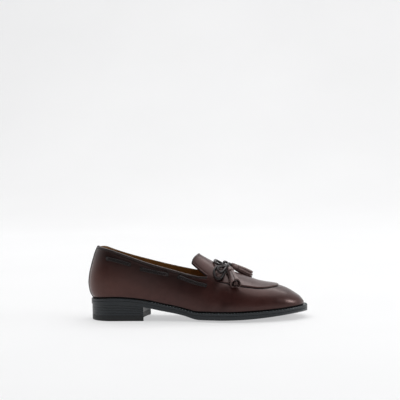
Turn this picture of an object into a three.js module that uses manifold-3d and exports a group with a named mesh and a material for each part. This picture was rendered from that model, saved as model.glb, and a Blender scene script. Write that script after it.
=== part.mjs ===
// A leather tassel loafer for the right foot, in millimetres.
// +X runs to the toe, +Y to the inner (medial) side and +Z up.
// The floor is at z = 0, and the origin is the middle of the heel's face on the floor.
import * as THREE from 'three';
import { mergeVertices } from 'three/addons/utils/BufferGeometryUtils.js';
import Module from 'manifold-3d';

const wasm = await Module();
wasm.setup();

// Driving dimensions
const SOLE_LENGTH = 298;
const BALL_WIDTH = 102;
const HEEL_HEIGHT = 21.8;
const TOE_SPRING = 8.8;
const OUTSOLE_THICKNESS = 8;
const OUTSOLE_EDGE_LIFT = 2.8;
const TREAD_FLAT = 0.4;
const WELT_THICKNESS = 3.3;
const WELT_MARGIN = 5.2;
const INSOLE_THICKNESS = 3;
const INSOLE_TOE_SETBACK = 5;
const TOP_PIECE_THICKNESS = 7.4;
const LIFT_COUNT = 4;
const HEEL_LENGTH = 77;
const HEEL_BREAST_HOLLOW = 5.5;
const HEEL_INSET = 0.8;
const HEEL_REST = 37;
const BACK_HEIGHT = 98;
const BACK_SWELL = 5.8;
const SIDE_SWELL = 4;
const NOSE_SWELL = 0.6;
const NOSE_HEIGHT = 17;
const VAMP_RISE = 65;
const WALL = 2;
const APRON_STEP = 1.2;
const STRIP_THICKNESS = 0.9;
const STRIP_HALF_WIDTH = 4.5;
const STRIP_FOLD = 7;
const LACE_HALF_WIDTH = 2.4;
const LACE_HALF_HEIGHT = 1.4;
const LACE_PITCH = 6;
const LACE_DROP = 10;
const BOW_CORD = 3.4;
const KNOT_LENGTH = 8;
const KNOT_WIDTH = 10;
const KNOT_HEIGHT = 6.5;
const TASSEL_LENGTH = 38;
const TASSEL_NECK_RADIUS = 3.5;
const TASSEL_END_RADIUS = 6;
const TASSEL_STRIPS = 8;
const GAP = 0.3;

// Shape of the sole seen from above: the middle line's offset to the inner side and the half width,
// both as shares of the ball width. Both ends are rounded off afterwards.
const PLAN = [
  { at: 0.0, middle: 0.0, half: 0.318 },
  { at: 0.12, middle: 0.0, half: 0.318 },
  { at: 0.25, middle: -0.007, half: 0.309 },
  { at: 0.36, middle: -0.027, half: 0.3 },
  { at: 0.45, middle: -0.039, half: 0.316 },
  { at: 0.55, middle: -0.045, half: 0.384 },
  { at: 0.62, middle: -0.03, half: 0.447 },
  { at: 0.68, middle: -0.008, half: 0.487 },
  { at: 0.73, middle: 0.012, half: 0.5 },
  { at: 0.8, middle: 0.031, half: 0.5 },
  { at: 0.88, middle: 0.045, half: 0.5 },
  { at: 1.0, middle: 0.054, half: 0.5 },
];
const HEEL_ROUND = 0.11;
const HEEL_ROUND_ABOVE = 0.4;
const TOE_ROUND = 0.3;

// Side view of the sole: how much of the heel height and of the toe spring its underside is raised by,
// how much of the full thickness it has, and how much of the welt's margin shows.
const SOLE_LINE = [
  { at: 0.0, lift: 1.0, spring: 0, body: 0.44, ledge: 0.55 },
  { at: 0.13, lift: 0.99, spring: 0, body: 0.75, ledge: 0.55 },
  { at: 0.25, lift: 0.885, spring: 0, body: 0.66, ledge: 0.55 },
  { at: 0.3, lift: 0.75, spring: 0, body: 0.68, ledge: 0.55 },
  { at: 0.35, lift: 0.58, spring: 0, body: 0.73, ledge: 0.55 },
  { at: 0.4, lift: 0.42, spring: 0, body: 0.8, ledge: 0.6 },
  { at: 0.45, lift: 0.24, spring: 0, body: 0.85, ledge: 0.7 },
  { at: 0.48, lift: 0.1, spring: 0, body: 0.92, ledge: 0.8 },
  { at: 0.5, lift: 0.03, spring: 0, body: 0.96, ledge: 0.88 },
  { at: 0.52, lift: 0, spring: 0, body: 0.99, ledge: 0.94 },
  { at: 0.56, lift: 0, spring: 0, body: 1.0, ledge: 1.0 },
  { at: 0.61, lift: 0, spring: 0, body: 1.0, ledge: 1.0 },
  { at: 0.66, lift: 0, spring: 0.04, body: 0.99, ledge: 1.0 },
  { at: 0.73, lift: 0, spring: 0.13, body: 0.96, ledge: 1.0 },
  { at: 0.8, lift: 0, spring: 0.28, body: 0.9, ledge: 1.0 },
  { at: 0.88, lift: 0, spring: 0.53, body: 0.79, ledge: 1.0 },
  { at: 0.95, lift: 0, spring: 0.8, body: 0.68, ledge: 1.0 },
  { at: 1.0, lift: 0, spring: 1.0, body: 0.58, ledge: 1.0 },
];

// The last above the sole: its ridge over the welt as a share of the vamp's rise, which behind the tongue
// is only the cone that the quarters lean in to, how far its sides swell, how far the ridge lies to the
// inner side as a share of the ball width, and the fullness of its side and top, where 1 is an ellipse.
const LAST = [
  { at: 0.0, ridge: 1.47, swell: 0.3, aside: 0, side: 1.0, top: 1.0 },
  { at: 0.07, ridge: 1.51, swell: 0.8, aside: 0, side: 1.0, top: 1.0 },
  { at: 0.14, ridge: 1.555, swell: 0.9, aside: 0.003, side: 1.0, top: 1.0 },
  { at: 0.21, ridge: 1.58, swell: 0.9, aside: 0.01, side: 1.0, top: 1.0 },
  { at: 0.28, ridge: 1.55, swell: 0.9, aside: 0.015, side: 1.0, top: 1.0 },
  { at: 0.36, ridge: 1.45, swell: 0.9, aside: 0.02, side: 1.0, top: 1.0 },
  { at: 0.43, ridge: 1.31, swell: 1.0, aside: 0.022, side: 1.0, top: 1.0 },
  { at: 0.497, ridge: 1.19, swell: 1.0, aside: 0.025, side: 1.0, top: 1.0 },
  { at: 0.54, ridge: 1.08, swell: 1.0, aside: 0.026, side: 1.0, top: 1.0 },
  { at: 0.587, ridge: 0.962, swell: 1.0, aside: 0.028, side: 0.98, top: 0.98 },
  { at: 0.625, ridge: 0.858, swell: 1.0, aside: 0.029, side: 0.97, top: 0.97 },
  { at: 0.663, ridge: 0.772, swell: 1.0, aside: 0.029, side: 0.96, top: 0.96 },
  { at: 0.715, ridge: 0.671, swell: 0.9, aside: 0.032, side: 0.94, top: 0.95 },
  { at: 0.756, ridge: 0.603, swell: 0.9, aside: 0.036, side: 0.93, top: 0.95 },
  { at: 0.787, ridge: 0.551, swell: 0.8, aside: 0.039, side: 0.92, top: 0.94 },
  { at: 0.82, ridge: 0.514, swell: 0.8, aside: 0.042, side: 0.91, top: 0.93 },
  { at: 0.853, ridge: 0.483, swell: 0.7, aside: 0.045, side: 0.9, top: 0.92 },
  { at: 0.881, ridge: 0.446, swell: 0.7, aside: 0.048, side: 0.9, top: 0.91 },
  { at: 0.902, ridge: 0.409, swell: 0.6, aside: 0.05, side: 0.9, top: 0.9 },
  { at: 0.922, ridge: 0.366, swell: 0.6, aside: 0.051, side: 0.9, top: 0.9 },
  { at: 0.94, ridge: 0.318, swell: 0.5, aside: 0.052, side: 0.9, top: 0.9 },
  { at: 0.957, ridge: 0.265, swell: 0.4, aside: 0.052, side: 0.9, top: 0.9 },
  { at: 0.978, ridge: 0.195, swell: 0.3, aside: 0.053, side: 0.9, top: 0.9 },
  { at: 0.99, ridge: 0.13, swell: 0.2, aside: 0.054, side: 0.9, top: 0.9 },
  { at: 1.0, ridge: 0.065, swell: 0.1, aside: 0.054, side: 0.9, top: 0.9 },
];

// Profile of the back seam: how far it stands out behind the welt, as a share of the back's swell,
// at each share of the height from the welt to the topline. The profile of the toe is given likewise.
// Either one fades out over a share of the sole's length.
const BACK_REACH = 0.33;
const NOSE_REACH = 0.12;
const BACK = [
  { at: 0.0, out: 0 },
  { at: 0.11, out: 0.67 },
  { at: 0.27, out: 1.0 },
  { at: 0.35, out: 0.98 },
  { at: 0.51, out: 0.69 },
  { at: 0.67, out: 0.2 },
  { at: 0.8, out: -0.27 },
  { at: 0.92, out: -0.75 },
  { at: 1.0, out: -1.2 },
];
const NOSE = [
  { at: 0.0, out: 0 },
  { at: 0.3, out: 1 },
  { at: 0.6, out: 0.7 },
  { at: 1.0, out: -0.7 },
];

// Height of the topline over the floor on either side, as shares of the back's height.
const TOPLINE = [
  { at: 0.0, lateral: 1.015, medial: 1.015 },
  { at: 0.03, lateral: 1.022, medial: 1.008 },
  { at: 0.075, lateral: 1.004, medial: 0.96 },
  { at: 0.12, lateral: 0.97, medial: 0.918 },
  { at: 0.175, lateral: 0.917, medial: 0.87 },
  { at: 0.225, lateral: 0.862, medial: 0.829 },
  { at: 0.287, lateral: 0.8, medial: 0.782 },
  { at: 0.35, lateral: 0.744, medial: 0.735 },
  { at: 0.41, lateral: 0.693, medial: 0.694 },
  { at: 0.466, lateral: 0.645, medial: 0.659 },
  { at: 0.508, lateral: 0.619, medial: 0.637 },
  { at: 0.556, lateral: 0.609, medial: 0.622 },
];

// The apron: its edge climbs from the throat to the ridge, which it crosses in a round front.
const THROAT = 0.556;
const APRON_FRONT = 0.884;
const APRON_BEND = 0.73;
const APRON_EDGE = [
  { at: 0.556, climb: 0.49 },
  { at: 0.69, climb: 0.545 },
  { at: 0.77, climb: 0.597 },
  { at: 0.884, climb: 0.635 },
];
const APRON_RISE_START = 0.6;
const APRON_RISE_END = 0.68;

// The tongue: its tip on the ridge, and its lower corners, further back.
const TONGUE_TIP = 0.505;
const TONGUE_CORNER = 0.468;
const TONGUE_CORNER_CLIMB = 0.59;
const TONGUE_ROUND = 0.014;

// How finely the surfaces are cut
const QUARTER_COLUMNS = 18;
const VAMP_COLUMNS = 15;
const TOE_COLUMNS = 8;
const TONGUE_COLUMNS = 4;
const SKIRT_ROWS = 8;
const CAP_ROWS = 5;
const OUTSOLE_ROWS = 4;
const INSOLE_ROWS = 2;

const LATERAL = -1;
const MEDIAL = 1;
// The step in station and climb over which a direction is measured
const PROBE = 0.002;

// Smooth curve through one column of a table
function curve(table, column) {
  const slopes = table.map((row, i) => {
    const before = table[Math.max(i - 1, 0)];
    const after = table[Math.min(i + 1, table.length - 1)];
    return (after[column] - before[column]) / (after.at - before.at);
  });
  return at => {
    let i = 0;
    while (i < table.length - 2 && at > table[i + 1].at) i += 1;
    const span = table[i + 1].at - table[i].at;
    const t = (at - table[i].at) / span;
    if (t <= 0) return table[i][column] + slopes[i] * t * span;
    if (t >= 1) return table[i + 1][column] + slopes[i + 1] * (t - 1) * span;
    const t2 = t * t;
    const t3 = t2 * t;
    return (2 * t3 - 3 * t2 + 1) * table[i][column] + (t3 - 2 * t2 + t) * slopes[i] * span
      + (3 * t2 - 2 * t3) * table[i + 1][column] + (t3 - t2) * slopes[i + 1] * span;
  };
}

const clamp = (value, low, high) => Math.min(Math.max(value, low), high);
const mix = (a, b, t) => a + (b - a) * t;

function ease(value, low, high) {
  const t = clamp((value - low) / (high - low), 0, 1);
  return t * t * (3 - 2 * t);
}

// Shares from low to high that crowd together at either end, as a round end needs
function crowded(low, high, count, atLow, atHigh) {
  return Array.from({ length: count + 1 }, (unused, i) => {
    const t = i / count;
    if (atLow && atHigh) return mix(low, high, (1 - Math.cos(Math.PI * t)) / 2);
    if (atLow) return mix(low, high, 1 - Math.cos(Math.PI * t / 2));
    if (atHigh) return mix(low, high, Math.sin(Math.PI * t / 2));
    return mix(low, high, t);
  });
}

const planMiddle = curve(PLAN, 'middle');
const planHalf = curve(PLAN, 'half');
const soleLift = curve(SOLE_LINE, 'lift');
const soleSpring = curve(SOLE_LINE, 'spring');
const soleBody = curve(SOLE_LINE, 'body');
const soleLedge = curve(SOLE_LINE, 'ledge');
const ridgeRise = curve(LAST, 'ridge');
const sideSwell = curve(LAST, 'swell');
const ridgeAside = curve(LAST, 'aside');
const sideFullness = curve(LAST, 'side');
const topFullness = curve(LAST, 'top');
const backOut = curve(BACK, 'out');
const noseOut = curve(NOSE, 'out');
const toplineHeight = { [LATERAL]: curve(TOPLINE, 'lateral'), [MEDIAL]: curve(TOPLINE, 'medial') };
const apronClimb = curve(APRON_EDGE, 'climb');

// Rounding of the outline's two ends: 0 at the very end, 1 where the outline runs free
function endRound(at, heelRound) {
  const heel = clamp(1 - at / heelRound, 0, 1);
  const toe = clamp((at - 1 + TOE_ROUND) / TOE_ROUND, 0, 1);
  return Math.sqrt((1 - heel * heel) * (1 - toe * toe));
}

const middle = at => planMiddle(at) * BALL_WIDTH;
const ledge = at => soleLedge(at) * WELT_MARGIN;
const planX = (at, inset) => mix(inset, SOLE_LENGTH - inset, at);

// A point of the outline, drawn in by an inset; reach goes from 0 on the middle line to 1 on the edge,
// and the height is a function of the share of the sole's length
function planPoint(at, inset, side, reach, height) {
  const half = (planHalf(at) * BALL_WIDTH - inset) * endRound(at, HEEL_ROUND);
  const x = planX(at, inset);
  return new THREE.Vector3(x, middle(at) + side * half * reach, height(x / SOLE_LENGTH));
}

const underside = at => Math.max(soleLift(at), 0) * HEEL_HEIGHT + Math.max(soleSpring(at), 0) * TOE_SPRING;
const outsoleTop = at => underside(at) + soleBody(at) * OUTSOLE_THICKNESS;
const weltTop = at => outsoleTop(at) + GAP + WELT_THICKNESS;
const feather = at => weltTop(at) + GAP;

// How far the forepart's rim leaves the floor: none under the heel, all of it from the waist on.
// The tread stays flat over the middle of its width.
const edgeLift = at => OUTSOLE_EDGE_LIFT * ease(at, HEEL_LENGTH / SOLE_LENGTH, 0.5);

const rise = at => ridgeRise(at) * VAMP_RISE;

// A point on the outer skin. Climb goes from 0 at the welt to 1 on the ridge.
function skin(at, climb, side) {
  const angle = clamp(climb, 0, 1) * Math.PI / 2;
  const height = Math.pow(Math.sin(angle), topFullness(at)) * rise(at);
  const narrowing = Math.pow(Math.max(Math.cos(angle), 0), sideFullness(at));
  const inset = ledge(at);
  const foot = planHalf(at) * BALL_WIDTH - inset;
  const swell = SIDE_SWELL * sideSwell(at) * Math.sin(2 * angle);
  const round = endRound(at, HEEL_ROUND * mix(HEEL_ROUND_ABOVE, 1, narrowing));
  const half = (foot * narrowing + swell) * round;
  const backPull = Math.pow(clamp(1 - at / BACK_REACH, 0, 1), 2);
  const toePull = Math.pow(clamp(1 - (1 - at) / NOSE_REACH, 0, 1), 2);
  const back = -BACK_SWELL * backOut(height / (BACK_HEIGHT - feather(0))) * backPull;
  const nose = NOSE_SWELL * noseOut(Math.min(height / NOSE_HEIGHT, 1)) * toePull;
  const centre = mix(middle(at), ridgeAside(at) * BALL_WIDTH, Math.sin(angle));
  const footX = planX(at, inset);
  const base = feather(footX / SOLE_LENGTH);
  return new THREE.Vector3(footX + back + nose, centre + side * half, base + height);
}

// The outward direction of the skin there
function outward(at, climb, side) {
  const lowAt = Math.max(at - PROBE, 0);
  const highAt = Math.min(at + PROBE, 1);
  const lowClimb = Math.max(climb - PROBE, 0);
  const highClimb = Math.min(climb + PROBE, 1);
  const along = skin(highAt, climb, side).sub(skin(lowAt, climb, side));
  const up = skin(at, highClimb, side).sub(skin(at, lowClimb, side));
  const direction = along.cross(up).normalize();
  return side === LATERAL ? direction : direction.negate();
}

// On the back seam, the toe and the ridge the two sides share their points
function sharedOutward(at, climb, side) {
  if (at > 0 && at < 1 && climb < 1) return outward(at, climb, side);
  return outward(at, climb, LATERAL).add(outward(at, climb, MEDIAL)).normalize();
}

// A point at a depth below the outer skin
function layer(at, climb, side, depth) {
  return skin(at, climb, side).addScaledVector(sharedOutward(at, climb, side), -depth);
}

// The climb of the topline, of the apron's edge in front of the throat, and of the ridge at the toe
function skirtEdge(at, side) {
  const apronSide = 1 - (1 - apronClimb(at)) * Math.sqrt(1 - Math.pow(
    clamp((at - APRON_BEND) / (APRON_FRONT - APRON_BEND), 0, 1), 3));
  if (at >= APRON_FRONT) return 1;
  if (at > THROAT) return mix(toplineClimb(THROAT, side), apronSide, ease(at, THROAT, APRON_RISE_END));
  return toplineClimb(at, side);
}

function toplineClimb(at, side) {
  const height = toplineHeight[side](at) * BACK_HEIGHT - feather(at);
  return Math.asin(Math.pow(clamp(height / rise(at), 0, 1), 1 / topFullness(at))) * 2 / Math.PI;
}

// A solid from faces of three or four corners; corners that fall together drop out
function solid(faces) {
  const places = [];
  const same = (a, b) => a.distanceToSquared(b) < 1e-8;
  const triangle = (a, b, c) => {
    if (!same(a, b) && !same(b, c) && !same(c, a)) places.push(...a.toArray(), ...b.toArray(), ...c.toArray());
  };
  for (const [a, b, c, d] of faces) {
    triangle(a, b, c);
    if (d) triangle(a, c, d);
  }
  const geometry = new THREE.BufferGeometry();
  geometry.setAttribute('position', new THREE.Float32BufferAttribute(places, 3));
  geometry.computeVertexNormals();
  return geometry;
}

// Faces between neighbouring lines of points
function sheet(lines, flipped) {
  const faces = [];
  for (let i = 0; i + 1 < lines.length; i += 1) {
    for (let j = 0; j + 1 < lines[i].length; j += 1) {
      const face = [lines[i][j], lines[i + 1][j], lines[i + 1][j + 1], lines[i][j + 1]];
      faces.push(flipped ? face.reverse() : face);
    }
  }
  return faces;
}

const STATIONS = [
  ...crowded(0, THROAT, QUARTER_COLUMNS, true, false).slice(0, -1),
  ...crowded(THROAT, APRON_FRONT, VAMP_COLUMNS, false, true).slice(0, -1),
  ...crowded(APRON_FRONT, 1, TOE_COLUMNS, false, true),
];

function upperGeometry() {
  const faces = [];
  const capStations = STATIONS.filter(at => at >= THROAT && at <= APRON_FRONT);
  const stepAt = at => APRON_STEP * ease(at, APRON_RISE_START, APRON_RISE_END);
  for (const side of [LATERAL, MEDIAL]) {
    const flip = side === MEDIAL;
    const skirtClimb = (at, row) => skirtEdge(at, side) * row / SKIRT_ROWS;
    const skirt = depth => STATIONS.map(at => Array.from({ length: SKIRT_ROWS + 1 },
      (unused, row) => layer(at, skirtClimb(at, row), side, depth)));
    const capClimb = (edge, row) => mix(edge, 1, row / CAP_ROWS);
    // The tongue's columns lie between its back edge and the throat
    const tongueBack = row => mix(TONGUE_CORNER, TONGUE_TIP, Math.sin(row / CAP_ROWS * Math.PI / 2))
      + TONGUE_ROUND * Math.pow(1 - row / CAP_ROWS, 4);
    const tongueEdge = share => mix(TONGUE_CORNER_CLIMB, skirtEdge(THROAT, side), share);
    const cap = height => [
      ...Array.from({ length: TONGUE_COLUMNS }, (unused, column) => {
        const share = column / TONGUE_COLUMNS;
        return Array.from({ length: CAP_ROWS + 1 }, (other, row) => layer(
          mix(tongueBack(row), THROAT, share), capClimb(tongueEdge(share), row), side, height ? 0 : WALL));
      }),
      ...capStations.map(at => Array.from({ length: CAP_ROWS + 1 }, (unused, row) => layer(
        at, capClimb(skirtEdge(at, side), row), side, height ? -stepAt(at) : WALL))),
    ];
    const outerSkirt = skirt(0);
    const innerSkirt = skirt(WALL);
    const outerCap = cap(true);
    const innerCap = cap(false);
    faces.push(...sheet(outerSkirt, flip), ...sheet(innerSkirt, !flip));
    faces.push(...sheet(outerCap, flip), ...sheet(innerCap, !flip));
    // The rim that stands on the welt
    faces.push(...sheet([innerSkirt.map(line => line[0]), outerSkirt.map(line => line[0])], !flip));
    // The rim of the topline
    const throat = STATIONS.indexOf(THROAT);
    const quarterTop = skirtLines => skirtLines.slice(0, throat + 1).map(line => line[SKIRT_ROWS]);
    faces.push(...sheet([outerSkirt, innerSkirt].map(quarterTop), !flip));
    // The tongue's side edge and back edge
    const tongueSide = capLines => capLines.slice(0, TONGUE_COLUMNS + 1).map(line => line[0]);
    faces.push(...sheet([outerCap, innerCap].map(tongueSide), flip));
    faces.push(...sheet([outerCap[0], innerCap[0]], !flip));
    // The apron's step
    const front = STATIONS.indexOf(APRON_FRONT);
    const low = outerSkirt.slice(throat, front + 1).map(line => line[SKIRT_ROWS]);
    const high = outerCap.slice(TONGUE_COLUMNS).map(line => line[0]);
    faces.push(...sheet([low, high], !flip));
  }
  return solid(faces);
}

// A plate between two heights that follows the sole's outline
function plateGeometry(stations, inset, rows, bottom, top) {
  const grid = (height, reachLift) => stations.map(at => {
    const line = [];
    for (let row = -rows; row <= rows; row += 1) {
      const side = row < 0 ? LATERAL : MEDIAL;
      const reach = Math.sin(Math.abs(row) / rows * Math.PI / 2);
      const beyondFlat = clamp((reach - TREAD_FLAT) / (1 - TREAD_FLAT), 0, 1);
      const lifted = share => height(share) + reachLift(share) * beyondFlat * beyondFlat;
      line.push(planPoint(at, inset(at), side, reach, lifted));
    }
    return line;
  });
  const flat = () => 0;
  const lower = grid(bottom.height, bottom.edge ?? flat);
  const upper = grid(top.height, top.edge ?? flat);
  const last = 2 * rows;
  return solid([
    ...sheet(upper, false),
    ...sheet(lower, true),
    ...sheet([lower.map(line => line[0]), upper.map(line => line[0])], true),
    ...sheet([lower.map(line => line[last]), upper.map(line => line[last])], false),
  ]);
}

const outsoleGeometry = () => plateGeometry(STATIONS, () => 0, OUTSOLE_ROWS,
  { height: underside, edge: edgeLift }, { height: outsoleTop });

// The insole lies inside the welt and the upper, and ends a little short of the toe
const insoleInset = at => ledge(at) + WALL + 2 * GAP + INSOLE_TOE_SETBACK * ease(at, 1 - TOE_ROUND, 1);
const insoleGeometry = () => plateGeometry(STATIONS, insoleInset, INSOLE_ROWS,
  { height: at => outsoleTop(at) + GAP }, { height: at => feather(at) + INSOLE_THICKNESS });

// The welt: a flat strip all round, under the upper's rim
function weltGeometry() {
  const faces = [];
  for (const side of [LATERAL, MEDIAL]) {
    const ring = (inset, height) => STATIONS.map(at => planPoint(at, inset(at), side, 1, height));
    const inner = at => ledge(at) + WALL + GAP;
    const bottom = at => outsoleTop(at) + GAP;
    const loop = [ring(() => 0, bottom), ring(() => 0, weltTop), ring(inner, weltTop), ring(inner, bottom)];
    faces.push(...sheet([...loop, loop[0]], side === LATERAL));
  }
  return solid(faces);
}

// The heel's outline at a share of its height, with its hollow breast
const HEEL_SHARE = HEEL_LENGTH / SOLE_LENGTH;
const HEEL_STATIONS = crowded(0, HEEL_SHARE, 12, true, false);
const HEEL_BREAST_STEPS = 8;

function heelOutline() {
  const side = which => HEEL_STATIONS.map(at => planPoint(at, HEEL_INSET, which, 1, () => 0));
  const lateral = side(LATERAL);
  const medial = side(MEDIAL).reverse();
  const from = lateral[lateral.length - 1];
  const to = medial[0];
  const breast = Array.from({ length: HEEL_BREAST_STEPS - 1 }, (unused, i) => {
    const t = (i + 1) / HEEL_BREAST_STEPS;
    return from.clone().lerp(to, t).add(new THREE.Vector3(-HEEL_BREAST_HOLLOW * 4 * t * (1 - t), 0, 0));
  });
  return [...lateral, ...breast, ...medial.slice(0, -1)];
}

// One layer of the heel between two heights, each a function of x
function heelLayer(bottom, top) {
  const outline = heelOutline();
  const middlePoint = new THREE.Vector3(HEEL_REST, 0, 0);
  const raised = (point, height) => new THREE.Vector3(point.x, point.y, height(point.x));
  const faces = [];
  outline.forEach((point, i) => {
    const next = outline[(i + 1) % outline.length];
    faces.push([raised(middlePoint, top), raised(point, top), raised(next, top)]);
    faces.push([raised(middlePoint, bottom), raised(next, bottom), raised(point, bottom)]);
    faces.push([raised(point, bottom), raised(next, bottom), raised(next, top), raised(point, top)]);
  });
  return solid(faces);
}

// A solid between an outer and an inner grid of points, closed along its four borders
function shell(outer, inner) {
  const last = outer[0].length - 1;
  return solid([
    ...sheet(outer, false),
    ...sheet(inner, true),
    ...sheet([outer.map(line => line[0]), inner.map(line => line[0])], false),
    ...sheet([outer.map(line => line[last]), inner.map(line => line[last])], true),
    ...sheet([outer[0], inner[0]], true),
    ...sheet([outer[outer.length - 1], inner[inner.length - 1]], false),
  ]);
}

// The strip over the back seam. It stands on the welt, folds over the topline and ends inside.
const STRIP_COLUMNS = 4;

function backStripGeometry() {
  const strip = (reach, near) => {
    const side = reach < 0 ? LATERAL : MEDIAL;
    const wanted = Math.abs(reach) * STRIP_HALF_WIDTH;
    // The station at which the skin is that far from the middle line
    const station = climb => {
      let low = 0;
      let high = HEEL_ROUND;
      for (let i = 0; i < 30; i += 1) {
        const half = (low + high) / 2;
        if (Math.abs(skin(half, climb, side).y) < wanted) low = half;
        else high = half;
      }
      return high;
    };
    const outside = near ? -GAP : -GAP - STRIP_THICKNESS;
    const inside = WALL - outside;
    const above = new THREE.Vector3(0, 0, -outside);
    const top = toplineClimb(0, side);
    const line = [];
    for (let row = 0; row <= SKIRT_ROWS; row += 1) {
      const climb = top * row / SKIRT_ROWS;
      const point = layer(station(climb), climb, side, outside);
      line.push(point.setZ(Math.max(point.z, feather(0))));
    }
    const at = station(top);
    line.push(layer(at, top, side, outside).add(above));
    line.push(layer(at, top, side, inside).add(above));
    const foldEnd = top - STRIP_FOLD / rise(0);
    line.push(layer(at, top, side, inside));
    line.push(layer(station(foldEnd), foldEnd, side, inside));
    return line;
  };
  const across = near => Array.from({ length: STRIP_COLUMNS + 1 },
    (unused, i) => strip(i / STRIP_COLUMNS * 2 - 1, near));
  return shell(across(false).reverse(), across(true).reverse());
}

// Where the braided lace shows on the quarters, and how far its middle lies below the topline,
// as shares of the lace's drop
const SIDE_LACES = [
  { from: 0.08, to: 0.2, belowFrom: 1.19, belowTo: 1.02 },
  { from: 0.243, to: 0.375, belowFrom: 1.08, belowTo: 0.8 },
  { from: 0.418, to: 0.555, belowFrom: 0.66, belowTo: 1.08 },
];
const LACE_STEPS = 11;
const LACE_SIDES = 8;
const LACE_TWIST_DEPTH = 0.16;

// A twisted lace that lies on the quarter between two stations
function sideLaceGeometry(row, side) {
  const middles = [];
  const frames = [];
  let run = 0;
  for (let i = 0; i <= LACE_STEPS; i += 1) {
    const t = i / LACE_STEPS;
    const at = mix(row.from, row.to, t);
    const down = mix(row.belowFrom, row.belowTo, t) * LACE_DROP / rise(at);
    const climb = toplineClimb(at, side) - down * 2 / Math.PI / Math.cos(toplineClimb(at, side) * Math.PI / 2);
    const out = outward(at, climb, side);
    const along = skin(at + PROBE, climb, side).sub(skin(at - PROBE, climb, side)).normalize();
    middles.push(layer(at, climb, side, -GAP - LACE_HALF_HEIGHT * (1 + LACE_TWIST_DEPTH)));
    frames.push({ out, across: out.clone().cross(along).normalize() });
  }
  const rings = middles.map((point, i) => {
    if (i > 0) run += point.distanceTo(middles[i - 1]);
    const shrink = Math.sqrt(Math.sin(Math.PI * clamp(i / LACE_STEPS, 0.03, 0.97)) ** 0.35);
    return Array.from({ length: LACE_SIDES + 1 }, (unused, k) => {
      const angle = k % LACE_SIDES / LACE_SIDES * 2 * Math.PI;
      const twist = 1 + LACE_TWIST_DEPTH * Math.cos(2 * angle - run / LACE_PITCH * 2 * Math.PI);
      return point.clone()
        .addScaledVector(frames[i].across, Math.cos(angle) * LACE_HALF_WIDTH * twist * shrink)
        .addScaledVector(frames[i].out, Math.sin(angle) * LACE_HALF_HEIGHT * twist * shrink);
    });
  });
  return tube(rings, true);
}

// A closed tube from rings of points, with a fan at either end
function tube(rings, flipped) {
  const centre = ring => ring.slice(1).reduce((sum, point) => sum.add(point), new THREE.Vector3())
    .multiplyScalar(1 / (ring.length - 1));
  const faces = sheet(rings, flipped);
  for (const [ring, atStart] of [[rings[0], true], [rings[rings.length - 1], false]]) {
    const middlePoint = centre(ring);
    for (let k = 0; k + 1 < ring.length; k += 1) {
      const face = [middlePoint, ring[k], ring[k + 1]];
      faces.push(atStart !== flipped ? face : face.reverse());
    }
  }
  return solid(faces);
}

// The bow. Its loops run from the knot and back to it, close over the leather. Each point is given by
// its station, its climb, its side and its height over the skin in cord widths.
const KNOT = { at: 0.634, climb: 0.89, side: LATERAL, over: 1.35 };
const BOW_LOOPS = [
  [
    { at: 0.614, climb: 0.857, side: LATERAL, over: 0.9 },
    { at: 0.596, climb: 0.771, side: LATERAL, over: 0.9 },
    { at: 0.587, climb: 0.67, side: LATERAL, over: 0.8 },
    { at: 0.588, climb: 0.59, side: LATERAL, over: 0.7 },
    { at: 0.597, climb: 0.53, side: LATERAL, over: 0.7 },
    { at: 0.613, climb: 0.527, side: LATERAL, over: 0.7 },
    { at: 0.625, climb: 0.582, side: LATERAL, over: 0.7 },
    { at: 0.63, climb: 0.683, side: LATERAL, over: 0.8 },
    { at: 0.633, climb: 0.79, side: LATERAL, over: 0.9 },
  ],
  [
    { at: 0.622, climb: 0.82, side: LATERAL, over: 1.8 },
    { at: 0.609, climb: 0.747, side: LATERAL, over: 2.1 },
    { at: 0.6, climb: 0.695, side: LATERAL, over: 2.2 },
    { at: 0.599, climb: 0.645, side: LATERAL, over: 2.1 },
    { at: 0.606, climb: 0.622, side: LATERAL, over: 1.9 },
    { at: 0.617, climb: 0.641, side: LATERAL, over: 1.8 },
    { at: 0.626, climb: 0.72, side: LATERAL, over: 1.7 },
    { at: 0.631, climb: 0.81, side: LATERAL, over: 1.8 },
  ],
  [
    { at: 0.618, climb: 0.95, side: MEDIAL, over: 0.9 },
    { at: 0.6, climb: 0.88, side: MEDIAL, over: 1.05 },
    { at: 0.585, climb: 0.85, side: MEDIAL, over: 1.05 },
    { at: 0.578, climb: 0.93, side: MEDIAL, over: 0.8 },
    { at: 0.58, climb: 0.93, side: LATERAL, over: 0.7 },
    { at: 0.589, climb: 0.86, side: LATERAL, over: 0.9 },
    { at: 0.602, climb: 0.86, side: LATERAL, over: 1.1 },
    { at: 0.618, climb: 0.89, side: LATERAL, over: 1.4 },
  ],
  [
    { at: 0.62, climb: 0.98, side: MEDIAL, over: 1.4 },
    { at: 0.613, climb: 0.96, side: MEDIAL, over: 1.9 },
    { at: 0.613, climb: 0.9, side: MEDIAL, over: 2.2 },
    { at: 0.62, climb: 0.86, side: MEDIAL, over: 2.4 },
    { at: 0.629, climb: 0.86, side: MEDIAL, over: 2.1 },
    { at: 0.634, climb: 0.92, side: MEDIAL, over: 1.5 },
  ],
];
const CORD_SIDES = 8;
const CORD_STEPS_PER_POINT = 2;

const overSkin = point => layer(point.at, point.climb, point.side, -point.over * BOW_CORD);

function asManifold(geometry) {
  const bare = geometry.clone();
  bare.deleteAttribute('normal');
  bare.deleteAttribute('uv');
  const merged = mergeVertices(bare, 1e-3);
  return new wasm.Manifold(new wasm.Mesh({
    numProp: 3,
    vertProperties: merged.attributes.position.array,
    triVerts: new Uint32Array(merged.index.array),
  }));
}

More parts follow.
